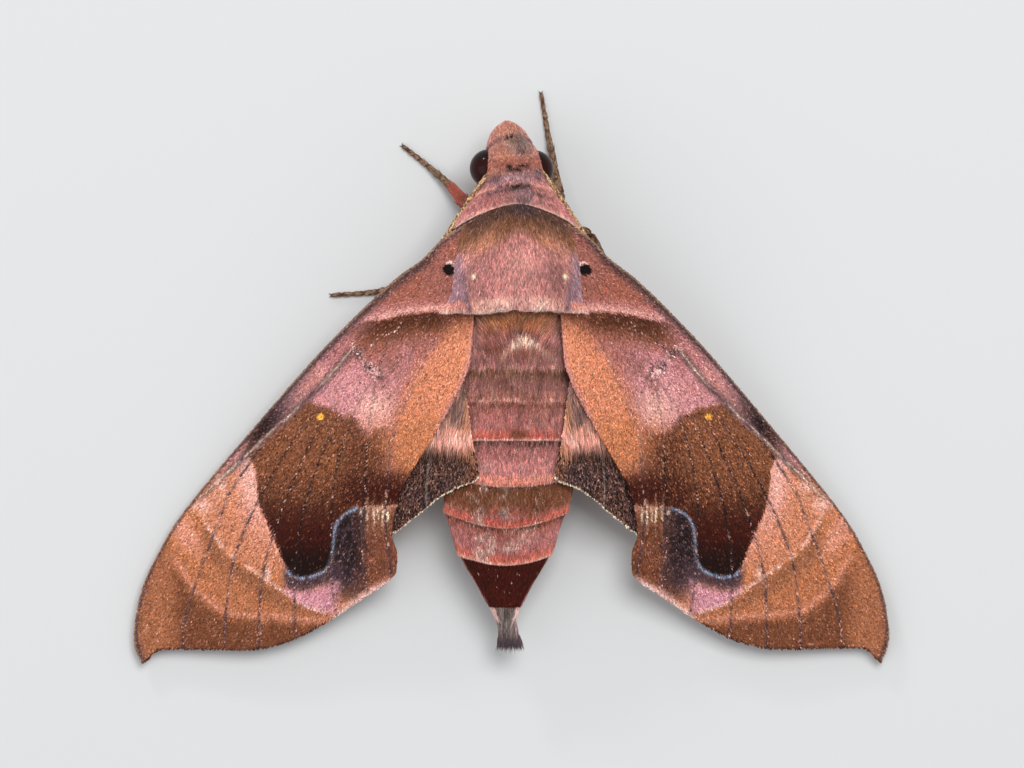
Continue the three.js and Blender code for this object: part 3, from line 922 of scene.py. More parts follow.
@dataclass
class Trunk:
    """Head, thorax and abdomen as one skin under a coat of fur and scales.

    Attributes:
        outline: front to back, [y, half width, top z, bottom z].
        fullness: how square the upper half of a cross-section is; 2 is an ellipse.
        bow: how far the sides of a cross line lie behind its top, at each station.
        depth: of the coat, which the skin lies under.
        rings: the stations of the abdomen's hind ring edges.
        sway: how far the middle of the body lies to the right of the midline.
        collar_edge, shoulder_edge: where the collar and the thorax end.
        neck: the point that the head turns about.
        yaw, roll: how far it turns and leans, in degrees.
        rows, columns: of the skin's grid.
    """

    outline: Rows = table("""20.05 .28 4.9 3.6, 19.7 .88 5.6 3.1, 19.4 1.2 5.95 2.8, 19 1.5 6.3 2.5,
        18.2 1.82 6.85 2.2, 17.6 2.06 7.15 2.15, 17 2.2 7.4 2.1, 16.2 2.28 7.7 2.1, 15.2 2.55 8 2.25,
        14.2 3.2 8.6 2.3, 13.2 3.95 9.2 2.2, 12.2 4.55 9.8 2.2, 11.2 4.85 10.2 2.1, 9.8 5 10.6 2,
        8 5.12 10.75 1.9, 6.4 5.3 10.4 1.9, 5.25 5.75 9.8 1.9, 5.05 4.25 9 1.8, 3.6 4.5 8.6 1.6,
        1.4 4.8 8.6 1.4, -1.7 5.1 8.7 1.2, -4.8 5.25 8.6 1.1, -8 5.15 8.1 1.1, -10.1 4.9 7.6 1.2,
        -11.7 4.4 7 1.4, -13.3 3.85 6.4 1.6, -14.6 3.2 5.9 1.9, -16.3 2.15 5.1 2.4, -17.9 1.28 4.5 2.8,
        -18.8 .85 4 2.95, -19.5 .78 3.8 2.95, -20.2 .85 3.6 2.85, -20.5 .88 3.5 2.8""")
    fullness: Rows = table("""20.05 2, 18.9 2.1, 17.7 3.6, 16.4 4.2, 15.4 3.4, 14.2 2.6, 12.8 2.3, 11.2 2.4,
        9.5 2.8, 7.5 3.2, 6.2 3.7, 5.2 4.4, 5.1 2.1, 3 2""")
    bow: Rows = table("""20.05 0, 17 0, 15.2 .7, 13.5 1.87, 12.4 1.7, 8 1, 5.2 .4, 4.9 .2, 2.6 0, -4.8 0,
        -8.5 -.8, -11.7 -1.2, -14.6 -.7, -17.9 0, -20.5 0""")
    depth: Rows = table("""20.05 .08, 18 .1, 15 .1, 13 .12, 8 .12, 5.2 .12, 3.5 .14, 1 .12, -4 .1, -14 .08,
        -14.8 .05, -17.5 .05, -18.3 .12, -20.5 .12""")
    rings: tuple[float, ...] = (5.0, 2.6, 0.75, -1.9, -4.85, -8.5, -11.7, -14.6, -17.9)
    sway: Rows = table("""5 0, 0 -.05, -4.8 -.18, -7.6 -.36, -9.2 -.52, -11.2 -.74, -16 -.76, -17.9 -.7,
        -19.4 -.5, -21.1 -.2""")
    collar_edge: float = 13.5
    shoulder_edge: float = 5.15
    neck: tuple[float, ...] = (0, 13, 5)
    yaw: float = 4.4
    roll: float = 6
    rows: int = 430
    columns: int = 144

    def stations(self) -> Array:
        """Spreads the grid's rows, closest together at the front end and at the steps.

        Returns:
            The station of each row.
        """
        y = np.linspace(self.outline[0][0], self.outline[-1][0], self.rows * 4)
        crowd = 1 + 3 * bell(y[0], 0.4, y)
        for edge in (self.collar_edge, self.shoulder_edge, *self.rings[1:]):
            crowd += 2.2 * bell(edge, 0.12, y)
        run = np.cumsum(crowd)
        return np.interp(np.linspace(run[0], run[-1], self.rows), run, y)

    def relief(self, station: Array, angle: Array) -> Array:
        """How far the skin stands out beyond the plain outline: collar, flaps, rings and palps.

        Args:
            station: how far along the body.
            angle: round the body from its back.

        Returns:
            The height of the relief.
        """
        up, across = np.cos(angle), np.sin(angle)
        # The creases beside the tegulae run where the side of the cross-section reaches this far out.
        reach = np.abs(across) * along(self.fullness, station) ** 0.16
        crease = bell(0.9, 0.035, reach + 0.07 * ramp(10.5, 5.2, station)) * (up > 0.1)
        fields = {
            "y": station, "up": up, "across": across, "crease": crease,
            "thorax": station > self.shoulder_edge, "palps": self.palp_line(station, angle),
        }  # fmt: skip
        out = sum(amount for _, amount in layers("""
collar_lip .1 y:15.2:13.55 y:13.44:13.5
dip_behind_it -.12 y:13.52:13.45 y:12.6:13.4
crease -.09 crease y:12.2:11 y:5:5.3
flap .07 y:12:11.2 y:5:5.3 up:.88:.56 up:-.4:.1
left_flap_corner .4 y:8:5.4 thorax across:-.55:-.95 up:-.05:.25
chin -.2 y:17.4:18.6 across~0~.12 up:.3:-.2
snout_groove -.14 y:18.3:18.8 across~0~.1
palps -.16 palps
""", fields))  # fmt: skip
        for front, rear in zip(self.rings, self.rings[1:]):
            share = np.clip((front - station) / (front - rear), 0, 1)
            inside = (station <= front) & (station > rear)
            soft = 0.35 if rear > -4 else 1  # the long fur hides the first rings
            out += soft * np.where(inside, 0.14 * share**2 - 0.07, 0) * ramp(-17.9, -17.0, station)
        return out

    def palp_line(self, station: Array, angle: Array) -> Array:
        """1 on the slanting groove between the palps and the face, and 0 off it."""
        return bell(17.6, 0.13, station - 1.1 * np.cos(angle)) * ramp(15.5, 16.3, station)

    def posed(self, points: Array) -> Array:
        """Turns and leans what lies before the neck, as the head is.

        Args:
            points: of the straight body.

        Returns:
            The points with the head turned.
        """
        share = ramp(13.9, 15.5, points[..., 1])
        yaw, roll = np.radians(self.yaw) * share, np.radians(self.roll) * share
        x, y, z = np.moveaxis(points - self.neck, -1, 0)
        x, y = x * np.cos(yaw) - y * np.sin(yaw), x * np.sin(yaw) + y * np.cos(yaw)
        x, z = x * np.cos(roll) + z * np.sin(roll), z * np.cos(roll) - x * np.sin(roll)
        return np.stack([x, y, z], -1) + self.neck

    def surface(self, station: Array, angle: Array) -> Array:
        """Points of the skin.

        Args:
            station: how far along the body, as the y of the line's top.
            angle: round the body from its back, growing to the right.

        Returns:
            The points, with the head turned.
        """
        side, up = np.sin(angle), np.cos(angle)
        y = station - along(self.bow, station) * np.where(up > 0, side**2, 1)
        # The thorax's hair ends raggedly over the waist.
        flutter = noise(6 * side, 6 * up, 1.0, 37) - 0.5
        y += 0.36 * flutter * ramp(7.0, 5.5, station) * ramp(4.5, 5.05, station)
        y = np.clip(y, self.outline[-1][0], self.outline[0][0])
        read = station + (y - station) * (ramp(6.5, 8, station) + ramp(-4.9, -5.6, station))
        out = self.relief(station, angle) - along(self.depth, station)
        wide = np.maximum(along(self.outline, read, 1) + out, 0.02)
        top, bottom = along(self.outline, read, 2) + out, along(self.outline, read, 3) - out
        middle, half = (top + bottom) / 2, np.maximum((top - bottom) / 2, 0.02)
        full = np.where(up > 0, along(self.fullness, station), 2)
        swell = (np.abs(side) ** full + np.abs(up) ** full) ** (-1 / full)
        x = side * swell * wide + along(self.sway, read)
        return self.posed(np.stack([x, y, middle + up * swell * half], -1))

    def markings(self, y: Array, angle: Array, seed: int) -> Paint:
        """Paints the back, the sides and the underside.

        Args:
            y: the stations of the points.
            angle: round the body from its back.
            seed: for what is random.

        Returns:
            The paint.
        """
        place = self.surface(y, angle)
        x = place[:, 0] + 0.08 * np.clip(y - 13, 0, 9) - along(self.sway, place[:, 1])
        up, wide = np.cos(angle), np.abs(x)
        soft = ramp(3.0, 2.0, y) * ramp(-4.6, -4.0, y)
        wobble = y + (0.05 + 0.4 * soft) * (clouds(x, y / 6, 0.35, 11) - 0.5)
        words = BACK.split()[::-1]
        tints = np.array([Tint[word].value for word in words[::2]], float)
        paint = Paint(read_at(wobble, np.array(words[1::2], float), tints), seed)
        low, cone = ramp(0.15, -0.35, up), ramp(-14.4, -14.7, y)
        # The violet sides of the thorax begin at this distance from the middle.
        edge = 4.3 - 0.5 * ramp(10.5, 5.2, y) + 0.3 * (clouds(x, y, 0.6, 12) - 0.5)
        worn = clouds(x, y, 0.9, 21) * ramp(-4.9, -5.4, y) * (1 - cone)
        worn = ramp(0.47, 0.64, worn) * ramp(3.4, 1.4, np.abs(x + 0.3)) * ramp(-0.2, 0.3, up)
        fields = {
            "x": x, "y": y, "up": up, "low": low, "upper": 1 - low, "cone": cone, "wobble": wobble,
            "flank": np.sin(angle), "thorax": ramp(5.1, 5.3, y) * ramp(13.5, 13.3, y),
            "patchy": 0.6 + 0.8 * (clouds(x, y, 1.4, 14) - 0.3), "beside": wide - edge,
            "left_slant": y - 0.35 * x, "right_slant": y + 0.35 * x, "swept": y + 1.1 * ramp(4.6, 3.6, wide),
            "palps": self.palp_line(y - 0.05, angle), "left_dot": np.hypot(x + 3.45, place[:, 1] - 7.85),
            "right_dot": np.hypot(x - 3.6, place[:, 1] - 7.85),
            "broken": 0.3 + ramp(0.35, 0.62, clouds(x, y, 0.2, 29)),
            "pale_hair": clouds(x * 3, y, 1.2, 18), "dark_hair": clouds(x * 3, y, 1.0, 19),
            "tufts": clouds(x * 2.5, y, 0.5, 17), "dark_arc": y + 0.25 * (x - 0.3) ** 2,
            "pale_arc": y + 0.3 * (x - 0.65) ** 2, "gaps": clouds(x, 0 * x, 0.5, 39),
            "worn": worn * (0.4 + 0.6 * ramp(-7.8, -8.8, y)), "fade": 1 - 0.5 * ramp(0.3, 1.2, x),
            "cone_clouds": clouds(angle * 3, y, 0.5, 23), "belly_clouds": clouds(x, y, 1.1, 31),
            "untufted": y > -17.9, "belly": low * (0.75 - 0.55 * cone) * (1 - 0.3 * ramp(15.0, 15.2, y)),
        }  # fmt: skip
        paint.layered(THORAX, fields)
        for spot in HEAD_SPOTS.split(","):
            tint, strength, x_middle, x_reach, y_middle, y_reach = spot.split()
            factors = f"broken upper x~{x_middle}~{x_reach} y~{y_middle}~{y_reach}"
            paint.layered(f"{tint} {strength} {factors}", fields)
        paint.layered(FACE_AND_WAIST, fields)
        fringe = ramp(0.5, 0.6, noise(x, y / 8, 0.11, 43)) * (y > -14.5)
        for edge, strength in ((0.6, 0.5), (-1.95, 0.5), (-4.88, 1), (-8.5, 0.7), (-11.72, 0.9)):
            paint.over(Tint.UMBER, strength * fringe * ramp(0.55, 0.25, edge - y) * (y < edge))
        paint.layered(ABDOMEN, fields)
        paint.combed(x, y, 0.14, 1.8, 0.2 - 0.12 * cone)
        paint.combed(x, y, 0.3, 3, 0.2 * ramp(5.3, 5.0, y) * ramp(-5.2, -4.6, y))
        paint.layered(TRUNK_DUST, fields)
        return paint

    def dressed(self) -> None:
        """Makes the skin and grows its fur, scales and tufts."""
        y, angle = np.meshgrid(self.stations(), around(self.columns), indexing="ij")
        patch = Patch(self.surface(y, angle), ring=True, turned=True)
        skin = patch.closed("body_skin", self.markings(y.ravel(), angle.ravel(), 40), FUR)
        mount(skin, "thorax_fur", "head", "palp_left", "palp_right", "collar", "thorax", "tegula_left",
              "tegula_right", "tail_tuft", *[f"abdomen_{k}" for k in range(1, len(self.rings))])  # fmt: skip
        cover = 1 - 0.45 * ramp(0.0, -0.6, np.cos(angle))
        ragged = y + 0.9 * (noise(angle, 0 * angle, 0.09, 33) - 0.5)
        # Each stretch: its name, tuft, length, width, finish, lift, stray, seed and shading; then how many
        # tufts, where they stand, and the slot.
        for coat, count, density, slot in (
            (("head_fur", HAIR, 0.27, 0.046, FUR, 14, 24, 51, 0.2),
             19000, cover * ramp(14.95, 15.05, y), "head_fur"),
            (("collar_fur", HAIR, 0.33, 0.048, FUR, 10, 15, 52),
             16000, cover * (y <= 15.1) * (y > 13.5), "collar_fur"),
            (("thorax_fur", HAIR, 0.36, 0.05, FUR, 11, 16, 53),
             48500, cover * (y <= 13.5) * (y > 5.2), "thorax_fur"),
            (("waist_hair", HAIR, 0.75, 0.055, FUR, 7, 11, 54, 0.15),
             14000, cover * (y <= 5.12) * (ragged > 0.9), "thorax_fur"),
            (("back_fur", HAIR, 0.4, 0.052, RINGS, 8, 13, 58, 0.13),
             27000, cover * (ragged <= 2.4) * (y > -4.84), "abdomen_scales"),
            (("ring_scale", HAIR, 0.3, 0.07, RINGS, 8, 12, 55, 0.13),
             43000, cover * (y <= -4.85) * (y > -14.6), "abdomen_scales"),
            (("cone_scale", SCALE, 0.26, 0.13, RINGS, 6, 8, 56),
             9000, (y <= -14.62) * (y > -18.0), "tail_scales"),
            (("tail_tuft", LOCK, 1.05, 0.05, FUR, 4, 6, 57, 0.3),
             4200, (y <= -17.9) * (y > -20.4), "tuft_hair"),
        ):  # fmt: skip
            self.grow(patch, Coat(f"{coat[0]}_coat", *coat[1:]), count, density.astype(float), slot)

    def grow(self, patch: Patch, coat: Coat, count: int, density: Array, slot: str) -> None:
        """Grows one stretch of the coat and mounts it.

        Args:
            patch: the skin.
            coat: the kind of coat.
            count: how many tufts.
            density: where they stand, over the skin's grid.
            slot: the record's slot it is finished in.
        """
        roots = patch.rooted(count, density, coat.seed)
        y = np.interp(roots.row, np.arange(self.rows), self.stations())
        angle = roots.column / self.columns * 2 * math.pi
        side = np.sin(angle)
        edges = np.array(sorted((self.collar_edge, self.shoulder_edge, *self.rings[4:], -25.0)))
        # How far behind a tuft the next step is: tufts are short there and take the colour before it.
        room = y - edges[np.searchsorted(edges, y) - 1]
        shown = y - np.minimum(0.45 * coat.length, room * 0.9)
        paint = self.markings(shown, angle, coat.seed).shaded(coat.shading)
        ahead = y > 17.3
        fan = ramp(15.0, 14.2, y) * (y > 13.5) * ramp(0.55, 0.2, np.abs(side))
        sideways = 0.28 * side * ramp(13.6, 12.6, y) * ramp(5.6, 7, y)
        sideways -= 1.3 * ramp(5.2, 4.9, y) * ramp(1.6, 3.0, y) * side + 2.2 * fan * (side - 0.1)
        sideways += ahead * side * (0.5 * ramp(19.2, 18.2, y) - 0.8 * ramp(18.9, 19.4, y))
        roots.sizes = (1 - 0.35 * ramp(15.5, 18, y)) * np.clip(room / coat.length + 0.2, 0.3, 1)
        if slot == "tuft_hair":
            sideways = (0.32 * ramp(-18.9, -20.2, y) - 0.05) * side
            roots.sizes = 0.7 + 0.3 * np.random.default_rng(4).random(count)
            paint.over(Tint.DUSK, 0.35 + 0 * y)
            paint.over(Tint.SHELL, 0.8 * (y > -18.35) * (np.abs(side) > 0.7))
            paint.over(Tint.DUSK, 0.7 * ramp(-19.0, -20.0, y))
        roots.lie = np.stack([sideways, np.where(ahead, 1, -1), 0 * y], -1)
        roots.places -= roots.facing * 0.01
        roots.paint = paint.light()
        mount(coat.grown(roots), slot)


# ---- The wings ----------------------------------------------------------------------------------


@dataclass
class Roof:
    """The heights that the wings and the abdomen under them take, as in the solids."""

    trunk: Trunk
    ridge_height: Rows = table("3 9.1, 5 8.75, 7 8.1, 9.5 7, 12 6, 15 4.9, 20 3.3, 25 1.95, 30 1.15")
    ridge_line: Rows = table("3 3.6, 9.5 1, 20 -10, 30 -20")
    fall: float = 0.0115
    fore_thickness: float = 0.55
    hind_thickness: float = 0.52
    clearance: float = 0.28

    def forewing(self, away: Array, y: Array, side: int) -> Array:
        """The height of the forewing's upper side, which is the same on both sides."""
        return along(self.ridge_height, away) - self.fall * (y - along(self.ridge_line, away)) ** 2

    def abdomen(self, away: Array, y: Array, side: int) -> Array:
        """The height of the back of the abdomen.

        Args:
            away, y: the points.
            side: 1 for the right wing and -1 for the left.

        Returns:
            The heights, with the floor's beside the abdomen.
        """
        y = np.minimum(y, 5.05)
        away = np.abs(away - side * along(self.trunk.sway, y))
        wide = along(self.trunk.outline, y, 1) + 0.1
        top, bottom = along(self.trunk.outline, y, 2) + 0.1, along(self.trunk.outline, y, 3)
        round_share = np.sqrt(np.clip(1 - (away / wide) ** 2, 0, 1))
        return np.where(away < wide, (top + bottom) / 2 + (top - bottom) / 2 * round_share, 0)

    def hindwing(self, away: Array, y: Array, side: int) -> Array:
        """The height of the hindwing's upper side.

        Args:
            away, y: the points.
            side: 1 for the right wing and -1 for the left.

        Returns:
            The heights, under the forewing and over the abdomen.
        """
        under = self.forewing(away, y, side) - self.fore_thickness - self.clearance
        over = self.abdomen(away, y, side) + self.hind_thickness + self.clearance
        return (under + over + np.sqrt((under - over) ** 2 + 0.12)) / 2


FOREWING_VEINS = (
    trace("5.5 9.5, 9.5 5.6, 13.9 .8, 16.3 -1.7, 19.2 -4.4, 22.1 -7.6, 25.5 -13, 27.8 -18.5"),
    trace("19.2 -4.6, 22 -8.7, 22.9 -10.9, 24.3 -14.6, 25.5 -18.3, 25.9 -21.3"),
    trace("15.6 -2.5, 18.2 -6.4, 20.4 -10.5, 21.8 -14.1, 22.4 -17.8, 22.6 -21.3"),
    trace("15 -3.2, 17.4 -8.4, 18.9 -12.6, 19.7 -15.8, 19.8 -17.4, 19.9 -21.3"),
    trace("13.6 -2.6, 15 -5.9, 16.4 -10.2, 17.1 -14.8, 17.1 -17.1, 17 -20.4"),
    trace("11.2 -.2, 12.8 -3.2, 13.9 -7.2, 14.3 -10.6, 14.2 -15.5, 13.8 -18.8"),
    trace("8.9 4.4, 10.4 1.4, 11.3 -3.1, 11.7 -8.6, 11.8 -13.8, 11.4 -17"),
    trace("6.4 3, 7.6 .5, 8.5 -1.7, 9.6 -4.6, 9.9 -7.9, 10.1 -10.9, 9.6 -15.2"),
)
HINDWING_VEINS = (
    trace("5.2 2, 6.2 -3.5, 6.9 -7.2, 7 -10.3"),
    trace("5.4 1.6, 7.8 -4.4, 9.2 -8.2, 9.9 -12.2"),
    trace("5.8 1.4, 10 -4.6, 12.2 -9.2, 13 -13.8"),
)

# The middle field: rosy near the front edge, apricot near the hind one, dark beside the first line.
MIDDLE_FIELD = """
PINK .9 middle first:-2.2:-4.2 inner:-.2:1.6
ORCHID .5 middle first:-1.5:-3 inner:.5:1.8
SALMON .7 middle front:2.6:1.2 first:-2:-3.4
BLUSH .9 middle x~10.9~1.5 y~-2.3~1.5
RED_BROWN .65 middle big:.42:.62 first:-5.5:-2.5 inner:0:1
MAUVE .9 middle shade
APRICOT 1 middle inner:.9:-.5
GOLDEN .6 middle inner:.6:-.6 y:-2:-4.4
GOLDEN .9 middle x~10.6~1.5 y~-5.2~1.6
BARK 1 dark
DARK_BROWN .85 dark first:-2:-.5
DARK_BROWN .6 !basal first:-1.2:-.1 x:6.6:4.4
BARK 1 patch
BRONZE .5 patch fine:.4:.6 y:-7:-3
RED_BROWN .5 patch x:13.6:11.8 y:-6:-4
DARK_BROWN .7 patch y:-6.5:-10
DARK_BROWN .7 patch x:13.8:11.8 y:-3.5:-7
BARK 1 low
DARK_BROWN .85 low y5:-6:-8.8
MAROON .95 low y4:-6.8:-8.8
DARK_BROWN .45 patch x:14.2:12.2
MAROON 1 patch y:-8.8:-12.6 x:12:13.8
BLACK .75 patch y:-12.2:-14.6
"""
# The base of the wing, and the field beyond the dark patch.
BASE_AND_OUTER_FIELD = """
RED_BROWN 1 basal
MAUVE .5 basal big:.45:.7
ROSE .9 basal first:1.4:.6
BLUSH .7 basal first~.3~.25 x:13:11
GOLDEN 1 beyond
SALMON .4 beyond outer:.2:-.2 y:-16.5:-14
ORANGE_BROWN .7 beyond outer:0:.5 x:25.2:24
BRONZE .55 beyond outer:0:.4 outer:1.9:.9 x:24.8:23.6
SALMON 1 beyond rim:-2.6:-.6 y:-15.5:-9
BLUSH .95 beyond rim:-1.8:-.3 y:-12.5:-8
SALMON .75 beyond outer:.4:1.6 y:-15.5:-12.5 outer:3.4:2 x:23.6:25
BLUSH .9 beyond x~24.3~.8 y~-9.9~.7
ORANGE_BROWN .8 beyond last:-1.4:0
BARK 1 beyond last:-.1:.9 x:28.2:25.5
ORANGE_BROWN .5 beyond last:.2:.9 x:25.5:28.2
BRONZE .4 beyond x:26:28.6
"""
# The lobe at the hind corner, the blue-edged bay, and the pale lines.
LOBE_BAY_AND_LINES = """
BARK .95 lobe
DARK_BROWN .5 lobe fine:.35:.65
RED_BROWN .3 lobe big:.4:.7
DUSK 1 bay
BLACK .75 bay y:-16.8:-14 fine:.25:.55
DUSK .95 beyond x:18.3:17.6 rim3:-1.7:-.6 y:-13.9:-14.8
ORCHID 1 beyond x:18.3:17.6 outer:.3:-.1 y:-15:-15.9 rim2:-.7:-1.5 x3:13.2:14.4
BLUSH .8 y:-15:-16.4 x:14.6:12.8 margin:.9:.3
SHELL .8 outer_line line_clouds:.3:.55
SHELL 1 x~19.2~.22 y~-15.2~.5
SALMON .5 last_line
SLATE .9 eye_line fine:.2:.45
SALMON .6 rim~-.12~.1 x:17.4:18
"""
VEIN = """
DUSK 1 strength dashes vein~0~.09
BLACK .7 patch y:-3.6:-5.4 vein~0~.08
BLUSH*.7 .35 !dots vein~0~.08 !basal
"""
# The front edge, the smear on the first line and the spots.
EDGE_SMEAR_AND_SPOTS = """
ORCHID .3 front:2.2:1 x:20:17 x:9:12
VIOLET .3 front:1:.3 x:24:21 x:7:9
DUSK .95 x~19.4~2.4 front:2.3:1.2 streak:-.3:.1
BLACK .75 x~19.7~1.3 streak:0:.3 streak:1.5:.9
PINK .8 x~21.8~1 streak:0:.3 streak:1.5:.9
UMBER .85 front:1:.25 x:18:10 x:5:7
DUSK .6 front:.6:.15 x:24:20 x:10:14
PINK .8 hind:.55:.05 y:-5:-3
DUSK*.5 .4 front:1:.3
DUSK .7 streak_shade x:25:22
ASH .8 streak_line scuffs:.25:.55
CREAM .5 streak_core scuffs:.35:.65
SHELL .9 x~22.9~.5 y~-8.3~.9 fine:.35:.55
DUSK .75 front~.28~.12
TAN .9 front:.2:.1
DUSK .9 smear smear_clouds:.3:.5
SHELL*.9 .3 smear
CREAM 1.1 x~12~.1 y~-10.6~.5 tongues:.3:.5
CREAM 1.1 x~11.5~.1 y~-10.6~1 tongues:.3:.5
CREAM 1.1 x~11~.1 y~-10.6~.9 tongues:.3:.5
CREAM 1.1 x~10.65~.1 y~-10.6~.5 tongues:.3:.5
CREAM 1.1 x~10.3~.1 y~-10.6~.9 tongues:.3:.5
CREAM 1.1 x~9.9~.1 y~-10.6~.6 tongues:.3:.5
SHELL 1 margin:.42:.15 x:14.6:13.4 x:9.2:10.2
MAROON .8 margin:.16:.06 x:14:15.5
GOLDEN*.35 1 gold_dust
BLUSH*.4 .06 !deep
BLACK*.5 .12 patch
GOLDEN*.6 .1 patch !deep
DARK_BROWN*.4 .1 !patch
GOLD 1 @15.1@-2.95:.3:.2
SHELL .9 @5.1@8.66:.5:.42 y:8.6:8.85
BLACK 1 @5.24@8.45:.5:.42
"""
HINDWING = """
DUSK .6 wide_clouds:.4:.7
SALMON 1 band:0:.6
BUFF .7 band:.7:1.6
SHELL .45 streaks:.5:.3 band:.5:1.4
DUSK .5 streaks:.52:.7 band:.8:1.8
BARK .7 hind:1.5:.6 y:-4.6:-5.2
AMBER .8 hind:.9:.3 y:0:-2 y:-7.4:-6 streaks:.65:.4
SALMON 1.2 band~.3~.7 x:10.5:8.5
SHELL .7 band~.45~.4 x:10.5:8.5
BUFF*.6 .25 y:-4.9:-5.6
BLACK*.8 .35 y:-5.2:-5.8
"""


